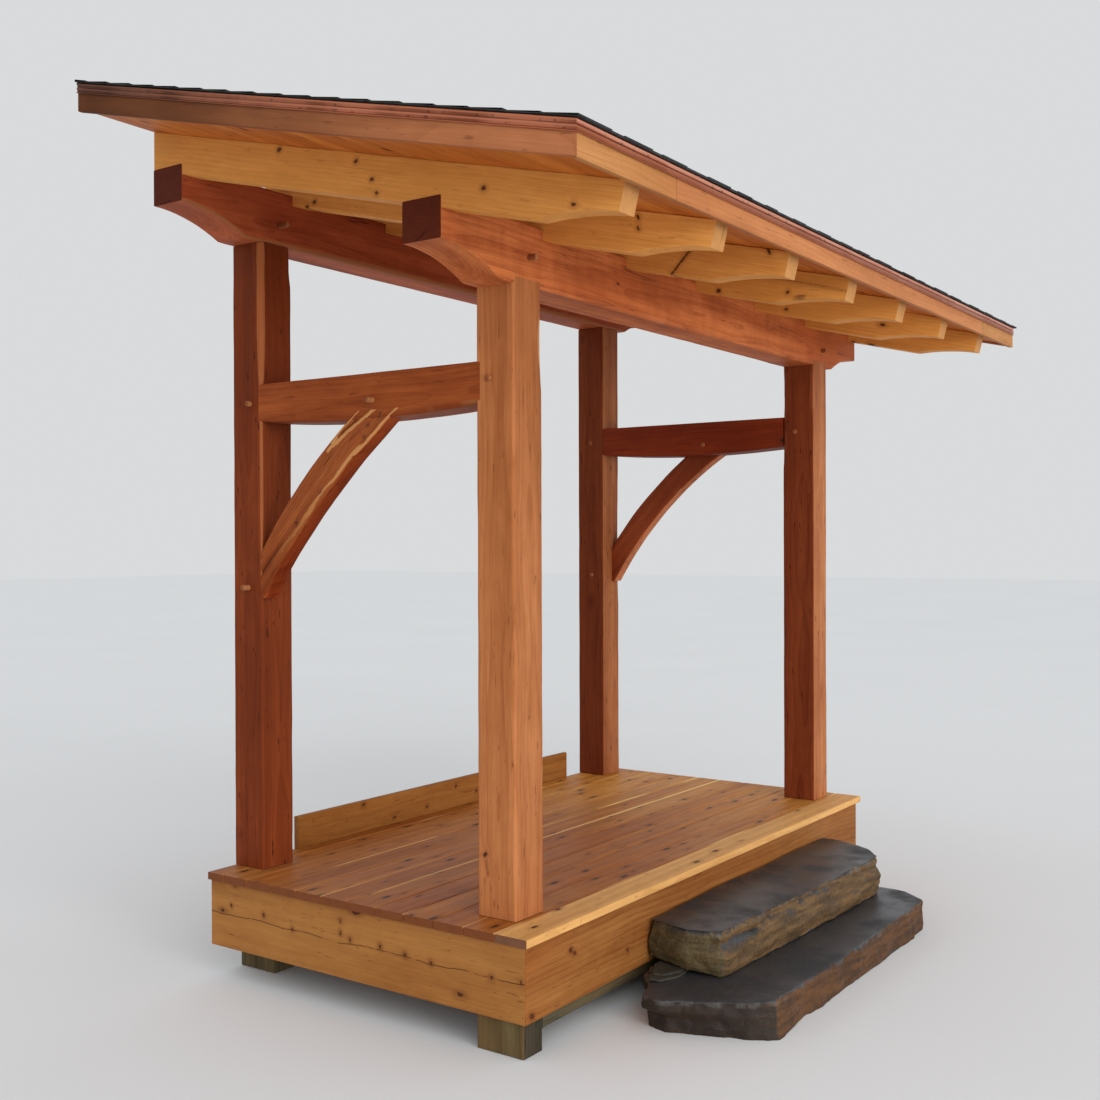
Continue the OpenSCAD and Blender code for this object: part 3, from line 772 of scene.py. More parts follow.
riser_low, riser_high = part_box("door_riser")
riser = board_of("riser_board", riser_low, riser_high, "X", 0.1, hand(9.0, 0.003, 0.001))
smooth(riser)
fix(riser, wood("golden cedar, riser", (0.340, 0.139, 0.032), (0.200, 0.061, 0.012), "X", seed=1.4, knots=0.0,
                face="Z", streaks=0.8, rings=60.0, pith=(0.2, 0.8), checks=0.3, blush=(0.32, 0.112, 0.023),
                marks=(((-0.672, 0.587), (-0.664, 0.591), 0.006), ((-0.452, 0.486), (-0.432, 0.488), 0.004),
                       ((-0.192, 0.497), (-0.186, 0.499), 0.005), ((0.047, 0.567), (0.052, 0.571), 0.006),
                       ((0.222, 0.515), (0.230, 0.517), 0.005)), knot_colour=(0.07, 0.022, 0.010)),
    "golden_timber", "door_riser")


# ---- Posts ----
# Square posts sawn from the heart of the log, planed and stained red-brown.
# Their tenons are housed in the plates, and along some edges the log's own
# round, or wane, is left as a paler band.

housing = 0.027
# Each post's left tint is painted light and shade on its left face; the right posts' left faces are made much
# darker than their fronts.
post_looks = {
    "post_front_left": dict(
        light=(0.480, 0.184, 0.067), dark=(0.304, 0.094, 0.028), blush=(0.37, 0.122, 0.037), seed=11.0,
        left=(1.14, 1.10, 1.05), sap=(0.60, 0.27, 0.11),
        marks=(((0.694, -0.222), (0.688, -0.216), 0.007), ((0.668, -0.221), (0.618, -0.231), 0.001)),
        wanes=(((1, -1), 2.68, 0.20, 0.013), ((-1, -1), 1.65, 1.25, 0.007))),
    "post_front_right": dict(
        light=(0.495, 0.188, 0.070), dark=(0.272, 0.080, 0.027), blush=(0.370, 0.110, 0.039), seed=23.0,
        left=(0.45, 0.25, 0.18), sap=(0.52, 0.20, 0.080),
        wanes=(((-1, -1), 2.72, 0.16, 0.012), ((-1, 1), 2.6, 0.3, 0.015), ((1, -1), 1.4, 0.4, 0.006))),
    # The rear posts' colours are darkened: painted shade from the house wall behind them, which is left out.
    "post_rear_left": dict(
        light=(0.245, 0.051, 0.0130), dark=(0.139, 0.0245, 0.0056), blush=(0.171, 0.0315, 0.0075), seed=31.0,
        left=(1.0, 0.92, 0.80),
        sap=(0.395, 0.125, 0.043), wanes=(((-1, -1), 2.93, 0.38, 0.012), ((1, -1), 3.20, 0.16, 0.016)),
        pale=lambda corner, place: 0.0 if corner != (-1, -1) or place < 1.70 else (
            min(0.95, 0.46 + 0.40 * (place - 1.70)) + 0.15 * waver(place * 9.0))),
    "post_rear_right": dict(
        light=(0.402, 0.146, 0.052), dark=(0.220, 0.061, 0.019), blush=(0.285, 0.081, 0.025), seed=47.0,
        left=(0.45, 0.25, 0.16), sap=(0.46, 0.17, 0.065),
        wanes=(((-1, -1), 2.9, 0.3, 0.006), ((1, -1), 1.9, 0.4, 0.008))),
}
for node, look in post_looks.items():
    low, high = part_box(node)
    if "front" in node:
        low, high = low - Vector((0, 0.001, 0)), high + Vector((0, 0, housing))
    post = timber(node + "_timber", low, high, "Z", 0.035)
    work_edges(post, "Z", hand(look["seed"], 0.006, 0.003, look["wanes"]), look.get("pale"), 0.07)
    smooth(post)
    marks = look.get("marks", ())
    fix(post, wood("stained timber, " + node, look["light"], look["dark"], "Z", seed=look["seed"],
                   knots=0.0 if marks else 0.30, marks=marks, face="Y" if marks else None, knot_scale=6.5,
                   streaks=0.9, flecks=0.6 if marks else 0.9, rings=75.0, left=look["left"], checks=0.5,
                   pith=((low.x + high.x) / 2 + 0.02, (low.y + high.y) / 2 - 0.015), blush=look["blush"],
                   sap=look["sap"],
                   knot_colour=(0.055, 0.014, 0.007)), "stained_timber", node)


# ---- Girts ----
# Rails as wide as the posts, tenoned into them. Their undersides follow the
# log's belly, with the round of the log left on the lower edges.

let_in = 0.018


def belly(piece, low, high, depth, sharp=2.0):
    """Lets the underside hang down in the middle of its run, as the log does."""
    middle, half = (low.y + high.y) / 2, (high.y - low.y) / 2
    for vertex in piece.data.vertices:
        if vertex.co.z < (low.z + high.z) / 2:
            share = 1 - abs((vertex.co.y - middle) / half) ** sharp
            vertex.co.z += depth * (1 - share)


for node, seed, wanes in (
        ("girt_left", 3.0, (((-1, -1), -0.05, 0.24, 0.011), ((-1, 1), 0.3, 0.5, 0.006),
                            ((1, -1), 0.2, 0.6, 0.012))),
        ("girt_right", 7.0, (((-1, -1), 0.45, 1.1, 0.0045), ((1, -1), 0.3, 0.5, 0.010)))):
    low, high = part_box(node)
    if node == "girt_left":
        low, high = low - Vector((0.001, let_in, 0)), high + Vector((0, let_in, 0))
    girt = timber(node + "_timber", low, high, "Y", 0.03)
    work_edges(girt, "Y", hand(seed, 0.006, 0.003, wanes), torn=0.1)
    belly(girt, low, high, 0.027)
    smooth(girt)
    look = (dict(light=(0.375, 0.092, 0.021), dark=(0.210, 0.040, 0.008), blush=(0.26, 0.049, 0.009))
            if node == "girt_left" else
            dict(light=(0.245, 0.036, 0.007), dark=(0.135, 0.016, 0.003), blush=(0.16, 0.019, 0.004)))
    fix(girt, wood("stained timber, " + node, grain="Y", seed=seed, knots=0.4, knot_scale=4.5,
                   streaks=0.9, rings=75.0, pith=((low.x + high.x) / 2, (low.z + high.z) / 2 - 0.02),
                   checks=0.6,
                   sap=(0.36, 0.12, 0.035), knot_colour=(0.05, 0.013, 0.007), **look), "stained_timber", node)


# ---- Braces ----
# Arched braces cut from curved stock, flush with the outer faces of the
# posts. The left one keeps the torn, streaky wane of the log along its
# edges; the right one is planed fairer.

brace_foot, head_out, nose, bow, brace_deep = 1.642, 0.925, 0.020, 0.061, 0.131
post_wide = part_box("post_rear_left")[1].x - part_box("post_rear_left")[0].x
girt_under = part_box("girt_left")[0].z
run, rise = head_out - post_wide - nose, girt_under - brace_foot
chord = math.hypot(run, rise)
bend = (chord * chord / 4 + bow * bow) / (2 * bow)
leaning = math.atan2(rise, run)
centre_out = post_wide + nose + run / 2 + (bend - bow) * math.sin(leaning)
centre_up = brace_foot + rise / 2 - (bend - bow) * math.cos(leaning)
turn = math.asin(chord / 2 / bend)
overrun, sunk = 0.11, 0.0012
brace_ridges = (((0.62, 0.062), (0.40, 0.086), 0.007, 0.9), ((0.42, 0.086), (0.18, 0.110), 0.007, 1.0),
                ((0.61, 0.004), (0.28, 0.004), 0.006, 0.9), ((0.36, 0.014), (0.06, 0.015), 0.009, 0.54),
                ((0.10, 0.018), (-0.22, 0.020), 0.011, 0.46), ((-0.14, 0.022), (-0.50, 0.056), 0.012, 0.44),
                ((0.64, 0.120), (0.22, 0.122), 0.006, 0.75), ((0.30, 0.060), (-0.10, 0.066), 0.007, 0.36))
brace_cracks = (((0.54, 0.092), (0.26, 0.114), 0.007, 1.0), ((0.46, 0.108), (0.34, 0.118), 0.005, 0.9),
                ((0.50, 0.050), (0.30, 0.066), 0.006, 0.45), ((-0.26, 0.046), (-0.47, 0.080), 0.008, 0.9))


def nearness(place, runs):
    """How strongly a place lies on any of some runs, each from one place to another with radius and strength;
    a run thins out towards its ends."""
    best = 0.0
    for start, stop, radius, strength in runs:
        start, along = Vector(start), Vector(stop) - Vector(start)
        share = share_of((place - start).dot(along) / along.length_squared)
        away = (place - start - share * along).length
        wide = radius * (0.25 + 0.75 * math.sin(math.pi * share) ** 0.6)
        best = max(best, strength * share_of(1.7 - away / wide))
    return best


for node, side, seed in (("brace_left", -1, 2.0), ("brace_right", 1, 9.0)):
    low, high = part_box(node)
    half = turn * bend + overrun
    outer = low.x - 0.0022 if side < 0 else low.x + sunk
    brace = timber(node + "_timber", (outer, -half, 0), (high.x - sunk, half, brace_deep), "Y", 0.018,
                   lanes=19 if side < 0 else 5)
    if side < 0:
        wanes = (((-1, 1), 0.0, 0.75, 0.005), ((-1, -1), 0.0, 0.75, 0.005))
        work_edges(brace, "Y", hand(seed, 0.005, 0.003, wanes), lambda corner, place: 0.0, 0.25)
        shown = brace.data.attributes["wane"]
        for vertex in brace.data.vertices:
            if vertex.co.x < (low.x + high.x) / 2 and abs(vertex.co.y) < half - 0.01:
                spot = Vector((2.0, vertex.co.y * 4.0, vertex.co.z * 62.0 + 3.0 * vertex.co.y))
                groove = noise.fractal(spot, 1.0, 2.0, 3)
                level = vertex.co.z - max(0.0, vertex.co.x - outer - 0.005)
                level += 0.004 * waver(vertex.co.y * 14.0)
                level += 0.003 * noise.noise(Vector((vertex.co.y * 45.0, vertex.co.z * 30.0, 0.5)))
                place = Vector((vertex.co.y, level))
                ridge, crack = nearness(place, brace_ridges), nearness(place, brace_cracks)
                vertex.co.x += max(0.0, 0.0035 * (0.4 + groove)) * (1 - ridge) + 0.006 * crack * (1 - ridge)
                # The wane value darkens the cracks, which are real splits, and a little in the deeper grooves
                # as painted shade.
                show = ridge - max(0.0, 1.1 * crack - ridge) - 0.3 * max(0.0, groove)
                shown.data[vertex.index].value = show
    else:
        work_edges(brace, "Y", hand(seed, 0.006, 0.003,
                                    (((-1, -1), 0.1, 0.5, 0.008), ((-1, 1), 0.0, 0.4, 0.006))))
    for vertex in brace.data.vertices:
        angle = leaning + math.pi / 2 - vertex.co.y / bend
        reach = bend + vertex.co.z
        reach += 0.0025 * noise.noise(Vector((vertex.co.y * 6.0, seed, vertex.co.z * 9.0)))
        if side < 0:
            reach -= 0.018 * max(0.0, 1 - ((vertex.co.y - 0.06) / 0.46) ** 2) * (1 - vertex.co.z / brace_deep)
        vertex.co.y = wall - (centre_out + reach * math.cos(angle))
        vertex.co.z = centre_up + reach * math.sin(angle)
    cut_off(brace, ((0, wall - post_wide + 0.004, 0), (0, 1, 0)), ((0, 0, brace_foot), (0, 0, -1)),
            ((0, 0, girt_under + (0.036 if side < 0 else 0.022)), (0, 0, 1)))
    smooth(brace)
    if side < 0:
        # The left tint lifts the brace's outer face against its underside: painted light.
        look = dict(light=(0.375, 0.080, 0.020), dark=(0.200, 0.033, 0.0070), blush=(0.27, 0.044, 0.0095),
                    left=(1.17, 1.64, 1.75), sap=(0.55, 0.175, 0.056), streaks=1.5, checks=1.0, face="Z",
                    tint_ramp=("Y", -1.35, -0.55, (0.74, 0.60, 0.50)),
                    marks=(((0.319, 2.398), (0.316, 2.401), 0.011), ((0.381, 2.359), (0.378, 2.362), 0.004),
                           ((0.404, 2.311), (0.401, 2.314), 0.004),
                           ((0.652, 2.088), (0.649, 2.091), 0.004), ((0.796, 1.966), (0.793, 1.969), 0.005)))
    else:
        # The right brace is made bright all over as a painted highlight on its underside, and its left tint
        # darkens its left face as painted shade.
        look = dict(light=(0.62, 0.215, 0.085), dark=(0.36, 0.105, 0.038), blush=(0.43, 0.125, 0.045),
                    left=(0.43, 0.25, 0.175), sap=(0.62, 0.24, 0.10), streaks=0.9, checks=0.5)
    fix(brace, wood("stained timber, " + node, grain="Y", tilt=-leaning, seed=seed + 1.5,
                    knots=0.0 if side < 0 else 0.3,
                    knot_scale=5.0, rings=75.0, pith=((low.x + high.x) / 2 + 0.05, 0.3),
                    knot_colour=(0.05, 0.014, 0.008), **look),
        "stained_timber", node)


# ---- Plates ----
# The two long beams on the posts that carry the rafters. Each end is
# hollowed below in a cove, and its end grain has darkened and split.

plate_flat, cove_rise = 0.082, 0.086
for node, seed, look, wanes in (
        ("plate_front", 5.0, dict(light=(0.680, 0.215, 0.066), dark=(0.362, 0.086, 0.025),
                                  blush=(0.475, 0.111, 0.030)),
         (((-1, -1), -0.4, 0.7, 0.012), ((-1, -1), 1.0, 0.5, 0.010), ((1, -1), 0.3, 0.8, 0.008))),
        ("plate_rear", 13.0, dict(light=(0.530, 0.130, 0.048), dark=(0.282, 0.057, 0.0195),
                                  blush=(0.340, 0.067, 0.0235)),
         (((-1, -1), -0.1, 1.35, 0.012),))):
    low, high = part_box(node)
    plate = timber(node + "_timber", low, high, "X", 0.028)
    bare = 0.9 if node == "plate_rear" else 0.0
    work_edges(plate, "X", hand(seed, 0.006, 0.003, wanes),
               lambda corner, place: bare if corner == (-1, -1) else 0.0, 0.1)
    cove_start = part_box("post_front_right")[1].x + plate_flat
    cove_run = high.x - cove_start
    cove_radius = (cove_run ** 2 + cove_rise ** 2) / (2 * cove_rise)
    for vertex in plate.data.vertices:
        past = abs(vertex.co.x) - cove_start
        if past > 0 and vertex.co.z < (low.z + high.z) / 2:
            left = max(0.0, cove_run - past)
            vertex.co.z += cove_rise - (cove_radius - math.sqrt(cove_radius ** 2 - left ** 2))
    smooth(plate)
    fix(plate, wood("stained timber, " + node, grain="X", seed=seed, knots=0.30, knot_scale=6.5, streaks=0.9,
                    rings=70.0, pith=((low.y + high.y) / 2 + 0.02, (low.z + high.z) / 2 - 0.03), checks=0.8,
                    sap=(0.42, 0.140, 0.050), ends=(0.120, 0.020, 0.006),
                    curl=0.35 if node == "plate_front" else 0.15, knot_colour=(0.06, 0.014, 0.008), **look),
        "stained_timber", node)


# ---- Pegs ----
# Turned hardwood pegs drive each tenon tight. They are cut a little proud
# of the faces and their tops are rounded with a knife.

peg_radius, peg_buried = 0.0125, 0.03
# The left tint darkens the pegs' left-facing ends: painted shade.
peg_material = wood("peg hardwood", (0.46, 0.20, 0.080), (0.26, 0.09, 0.03), "Y", seed=1.0, knots=0.0,
                    checks=0.0,
                    rings=90.0, left=(0.66, 0.50, 0.42))
half_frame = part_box("post_front_right")[1].x
inner = half_frame - post_wide
pegs = (
    ("front", -1.353, post_wide, 2.827, 0.055), ("front", -1.364, 1.550, 2.506, 0.038),
    ("front", 1.404, 1.550, 2.486, 0.030), ("front", 1.360, post_wide, 2.830, 0.040),
    ("left", -half_frame, 0.108, 2.036, 0.022), ("left", -half_frame, 0.093, 1.231, 0.040),
    ("left", -half_frame, 1.431, 2.050, 0.014), ("left", -half_frame, 0.835, 2.005, 0.044),
    ("left", inner, 1.442, 2.035, 0.006), ("left", inner, 0.868, 1.990, 0.006),
    ("left", inner, 0.090, 2.036, 0.006), ("left", inner, 0.095, 1.227, 0.006),
    ("right", half_frame, 1.435, 2.040, 0.008), ("right", half_frame, 0.100, 2.036, 0.008),
    ("right", half_frame, 0.095, 1.229, 0.008), ("right", half_frame, 0.850, 1.988, 0.008))
made = []
for facing, x, out, up, proud in pegs:
    pick()
    length = peg_buried + proud
    bpy.ops.mesh.primitive_cylinder_add(vertices=14, radius=peg_radius, depth=length)
    peg = bpy.context.object
    turn_to = {"front": Matrix.Rotation(math.radians(90), 4, "X"),
               "left": Matrix.Rotation(math.radians(-90), 4, "Y"),
               "right": Matrix.Rotation(math.radians(90), 4, "Y")}[facing]
    away = turn_to @ Vector((0, 0, 1))
    peg.data.transform(turn_to)
    peg.data.transform(Matrix.Translation(Vector((x, wall - out,
                                                  deck_top + up)) + away * (proud - length / 2)))
    apply(peg, "BEVEL", width=0.004, segments=3, limit_method="ANGLE")
    made.append(peg)
pegs = join(made, "tenon_pegs")
smooth(pegs, 50)
fix(pegs, peg_material, "stained_timber")


# ---- Rafters ----
# Planed pine rafters over both plates, the outer two set in a little so that
# the plates' ends cover them. Each tail is cut square to the slope and
# hollowed below in one long cove, out from the front plate.

fall = 0.25
slope_angle = math.atan(fall)
rafter_deep = 0.155 / math.cos(slope_angle)
tail_knee, tail_rise = 1.942, 0.057
pine = dict(light=(0.840, 0.395, 0.098), dark=(0.590, 0.212, 0.040), ends=(0.62, 0.295, 0.098))
rafter_wanes = {2: (((1, 1), -1.05, 0.12, 0.010),), 4: (((-1, -1), -0.86, 0.10, 0.010),),
                5: (((-1, -1), -0.9, 0.18, 0.010),), 6: (((-1, -1), -0.7, 0.3, 0.008),)}
rafter_marks = {
    1: (((0.444, 3.385), (0.438, 3.388), 0.009), ((0.043, 3.272), (0.037, 3.274), 0.007),
        ((-0.035, 3.193), (-0.041, 3.193), 0.007), ((-0.058, 3.142), (-0.062, 3.140), 0.006),
        ((-0.546, 3.080), (-0.552, 3.080), 0.008), ((-0.913, 2.969), (-0.919, 2.967), 0.006)),
    2: (((0.875, 3.383), (0.869, 3.385), 0.008), ((0.921, 3.370), (0.915, 3.370), 0.007),
        ((-0.788, 3.076), (-0.792, 3.066), 0.006), ((-0.788, 3.035), (-0.792, 3.027), 0.005)),
    3: (((-0.578, 2.988), (-0.680, 3.092), 0.005), ((-1.016, 3.042), (-1.026, 3.020), 0.006)),
    4: (((-0.482, 3.031), (-0.476, 3.031), 0.009), ((-0.823, 2.987), (-0.819, 2.985), 0.007),
        ((-0.628, 3.097), (-1.112, 2.955), 0.0006)),
    5: (((-0.536, 3.032), (-0.530, 3.032), 0.007), ((-0.514, 3.154), (-0.508, 3.154), 0.006))}
first_low, first_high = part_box("rafter_1")
first = timber("rafter", (first_low.x, first_low.y, 0.0), (first_high.x, first_high.y, 1.0), "Y", 0.024)
roof_plane = first_high.z
square_from, side_play, end_set_in = 2.13, 0.0012, 0.0034
for number in range(1, 8):
    node = f"rafter_{number}"
    low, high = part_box(node)
    rafter = another(first, node + "_timber", (low.x - first_low.x, 0, 0))
    plain = hand(number * 4.1, 0.0045, 0.002, rafter_wanes.get(number, ()))
    work_edges(rafter, "Y", lambda corner, place: plain(corner, place) * (1.7 if corner[1] > 0 else 1.0),
               torn=0.3)
    for vertex in rafter.data.vertices:
        out = wall - vertex.co.y
        share = max(0.0, (out - tail_knee) / (wall - low.y - tail_knee))
        lift = tail_rise * (1 - (1 - share) ** 2)
        down = rafter_deep - lift - vertex.co.z if vertex.co.z < 0.5 else 1.0 - vertex.co.z
        near_end = max(0.0, (out - square_from) / (wall - low.y - square_from))
        out -= math.sin(slope_angle) * math.cos(slope_angle) * down * near_end
        vertex.co.y, vertex.co.z = wall - out, roof_plane - fall * out - down
        vertex.co.x = max(low.x + (end_set_in if number == 1 else side_play),
                          min(high.x - (end_set_in if number == 7 else side_play), vertex.co.x))
    smooth(rafter)
    random.seed(number)
    shade = 0.96 + 0.12 * random.random()
    fix(rafter, wood(f"golden pine, {node}", [c * shade for c in pine["light"]],
                     [c * shade for c in pine["dark"]],
                     "Y", tilt=slope_angle, seed=number * 5.3, knots=0.0 if number < 5 else 0.3,
                     knot_scale=9.0,
                     face="Z", streaks=0.55, marks=rafter_marks.get(number, ()), flecks=0.3, rings=60.0,
                     pith=(low.x + 0.072, 3.20) if number == 2 else (low.x + 0.3, 2.6), checks=0.35,
                     ends=pine["ends"], end_rings=0.05,
                     sap=(0.30, 0.10, 0.035), blush=[c * shade for c in (0.77, 0.320, 0.066)],
                     knot_colour=(0.10, 0.030, 0.012)), "golden_timber", node)
bpy.data.objects.remove(first)


# ---- Roof boards ----
# Tongued and grooved cedar boards are nailed across the rafters, with plain
# sheathing boards over them; only the fine grooves between them show from
# below, and both layers' ends show at the wall.

roof_frame = Matrix(((1, 0, 0, 0),
                     (0, math.cos(slope_angle), -math.sin(slope_angle), wall),
                     (0, math.sin(slope_angle), math.cos(slope_angle), roof_plane),
                     (0, 0, 0, 1)))
layer_low, layer_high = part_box("roof_boards")
board_thick, face_wide, layers_thick = 0.038, 0.132, 0.095
wall_plane = ((0, wall, 0), (0, 1, 0))
slope_length = (layer_high.y - layer_low.y) / math.cos(slope_angle)


def roof_layer(name, foot, top, width, seed, worked):
    """Boards laid side by side down the slope, in the roof's own plane, then tilted into place."""
    reach = slope_length - foot * math.tan(slope_angle)
    first = timber("board", (layer_low.x, -width, foot), (layer_high.x, 0, top), "X", 0.3)
    count = int(reach / width)
    laid = [another(first, "board", (0, 0.5 * width, 0)), first]
    laid += [another(first, "board", (0, -number * width, 0)) for number in range(1, count)]
    laid.append(timber("board", (layer_low.x, -reach, foot), (layer_high.x, -count * width, top), "X", 0.3))
    for number, board in enumerate(laid):
        work_edges(board, "X", hand(seed + number, worked, worked * 0.15))
    laid[0].data.transform(Matrix.Translation((0, 0.5 * width, 0)))
    layer = join(laid[1:] + laid[:1], name)
    layer.data.transform(roof_frame)
    cut_off(layer, wall_plane)
    smooth(layer)
    return layer


first_board = -4.0 * face_wide + math.cos(slope_angle) * wall + math.sin(slope_angle) * roof_plane
lining = roof_layer("lining_boards", 0.0, board_thick, face_wide, 1.0, 0.003)
fix(lining, wood("golden cedar, lining", (0.700, 0.237, 0.042), (0.435, 0.110, 0.016), "X", tilt=slope_angle,
                 seed=5.5, knots=0.35, knot_scale=8.0, face="Y", streaks=0.9, rings=80.0, pith=(0.2, 0.5),
                 checks=0.2,
                 board=("Y", first_board, face_wide), blush=(0.60, 0.170, 0.024),
                 knot_colour=(0.08, 0.02, 0.008)),
    "golden_timber", "roof_boards")
sheath = roof_layer("sheathing_boards", board_thick, layers_thick, 0.19, 4.0, 0.003)
fix(sheath, wood("rough sheathing", (0.42, 0.28, 0.15), (0.27, 0.17, 0.085), "X", tilt=slope_angle, seed=8.5,
                 knots=0.5, streaks=1.0, rings=60.0, checks=0.5, roughness=0.75), "sheathing",
    "roof_sheathing")


# ---- Rake boards and fascia ----
# Planed boards close the roof's two ends and its eave, mitred at the eave
# corners. The fascia is butted from three lengths of different colour.

edge_thick = 0.022
eave_low, eave_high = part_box("eave_fascia")
eave_out = wall - eave_low.y
roof_half = eave_high.x
edge_drop = 0.012
edge_top = layers_thick


def slope_z(out, above):
    return roof_plane - fall * out + above / math.cos(slope_angle)


for side, node in ((-1, "rake_board_left"), (1, "rake_board_right")):
    outer, inside = side * roof_half, side * (roof_half - edge_thick)
    board = board_of(node + "_board", (min(outer, inside), eave_low.y, 0.0), (max(outer, inside), wall, 1.0),
                     "Y", 0.05, hand(6.0 + side, 0.003, 0.0012))
    for vertex in board.data.vertices:
        out = wall - vertex.co.y
        if vertex.co.z < 0.5:
            vertex.co.z = slope_z(out, -edge_drop) + vertex.co.z
        else:
            vertex.co.z = slope_z(out, edge_top) - (1.0 - vertex.co.z)
    mitre(board, (outer, eave_low.y, 0), -45 if side < 0 else 225)
    smooth(board)
    # The rake boards grow darker towards the wall: partly painted shade from the wall, partly a darker tone
    # of the boards there.
    fix(board, wood("stained cedar, " + node, (0.521, 0.189, 0.077), (0.338, 0.108, 0.0388), "Y",
                    tilt=slope_angle,
                    seed=3.0 + side, knots=0.0, face="Z", streaks=0.7, rings=70.0,
                    pith=(0.9 * side, 3.2), checks=0.3, blush=(0.356, 0.118, 0.0456),
                    tint_ramp=("Y", -0.49, 2.04, (0.27, 0.235, 0.17))), "golden_timber", node)

fascia_joints = (-roof_half, -1.660, 1.655, roof_half)
fascia_looks = (
    dict(light=(0.54, 0.25, 0.092), dark=(0.39, 0.155, 0.046), blush=(0.46, 0.195, 0.061),
         tint_ramp=("X", -2.05, -1.62, (0.98, 0.88, 0.84))),
    dict(light=(0.535, 0.212, 0.077), dark=(0.38, 0.130, 0.042), blush=(0.44, 0.158, 0.053)),
    dict(light=(0.54, 0.25, 0.092), dark=(0.39, 0.155, 0.046), blush=(0.46, 0.195, 0.061)))
for number, look in enumerate(fascia_looks):
    left, right = fascia_joints[number], fascia_joints[number + 1]
    low = Vector((left, eave_low.y, slope_z(eave_out, -edge_drop)))
    high = Vector((right + (0.002 if number < 2 else 0), eave_low.y + edge_thick,
                   slope_z(eave_out, edge_top)))
    board = board_of(f"fascia_board_{number + 1}", low, high, "X", 0.08, hand(12.0 + number, 0.003, 0.0012))
    if number == 0:
        mitre(board, (-roof_half, eave_low.y, 0), 135)
    if number == 2:
        mitre(board, (roof_half, eave_low.y, 0), 45)
    smooth(board)
    fix(board, wood(f"planed cedar, fascia {number + 1}", grain="X", seed=2.0 + number * 3.1, knots=0.0,
                    face="Z", streaks=0.8,
                    rings=70.0, pith=(0.9, 0.4), checks=0.2, ends=(0.40, 0.2, 0.09), **look),
        "golden_timber", *(["eave_fascia"] if number == 1 else []))


# ---- Drip edges ----
# Folded copper strip under the shingles' edges: a rolled nose on top, a flat
# face over the boards, and a hem that kicks out at the foot. It has kept
# most of its shine, with darker blooms where water has run.

drip_section = (
    (-0.055, 0.0022), (0.0010, 0.0022), (0.0042, 0.0012), (0.0058, -0.0018), (0.0052, -0.0052),
    (0.0030, -0.0080),
    (0.0018, -0.0115), (0.0018, -0.0150), (0.0034, -0.0182), (0.0050, -0.0210), (0.0050, -0.0235),
    (0.0032, -0.0262),
    (0.0016, -0.0290), (0.0018, -0.0325), (0.0046, -0.0350), (0.0066, -0.0372), (0.0060, -0.0390),
    (0.0036, -0.0392),
    (0.0008, -0.0370), (0.0004, -0.0100), (0.0003, 0.0006), (-0.055, 0.0006))


def drip_point(station, past, up):
    """A point of the drip edge's section at the wall, or at an eave corner where the two runs meet."""
    side, at_wall = station
    out = 0.0 if at_wall else eave_out + past
    return Vector((side * (roof_half + past), wall - out, slope_z(out, edge_top) + up))


def drip_run(name, stations):
    """One folded strip between stations, closed at both ends."""
    pick()
    count = len(drip_section)
    bpy.ops.mesh.primitive_circle_add(vertices=count, fill_type="NGON")
    strip = bpy.context.object
    strip.name = strip.data.name = name
    for vertex, (past, up) in zip(strip.data.vertices, drip_section):
        vertex.co = drip_point(stations[0], past, up)
    bpy.ops.object.mode_set(mode="EDIT")
    bpy.ops.mesh.select_all(action="SELECT")
    bpy.ops.mesh.extrude_region_move(TRANSFORM_OT_translate={"value": (0, 0, 1.0)})
    mesh = bmesh.from_edit_mesh(strip.data)
    for vertex in mesh.verts:
        if vertex.select:
            start = vertex.co - Vector((0, 0, 1.0))
            number = min(range(count),
                         key=lambda i: (drip_point(stations[0], *drip_section[i]) - start).length)
            vertex.co = drip_point(stations[1], *drip_section[number])
    bmesh.update_edit_mesh(strip.data)
    bpy.ops.mesh.select_all(action="SELECT")
    bpy.ops.mesh.normals_make_consistent(inside=False)
    bpy.ops.object.mode_set(mode="OBJECT")
    ridge = strip.data.attributes.new("ridge", "FLOAT", "POINT")
    for vertex in strip.data.vertices:
        number = min(range(2 * count), key=lambda i: (
            drip_point(stations[i // count], *drip_section[i % count]) - vertex.co).length)
        ridge.data[vertex.index].value = share_of((drip_section[number % count][0] - 0.0018) / 0.0032)
    smooth(strip, 45)
    return strip


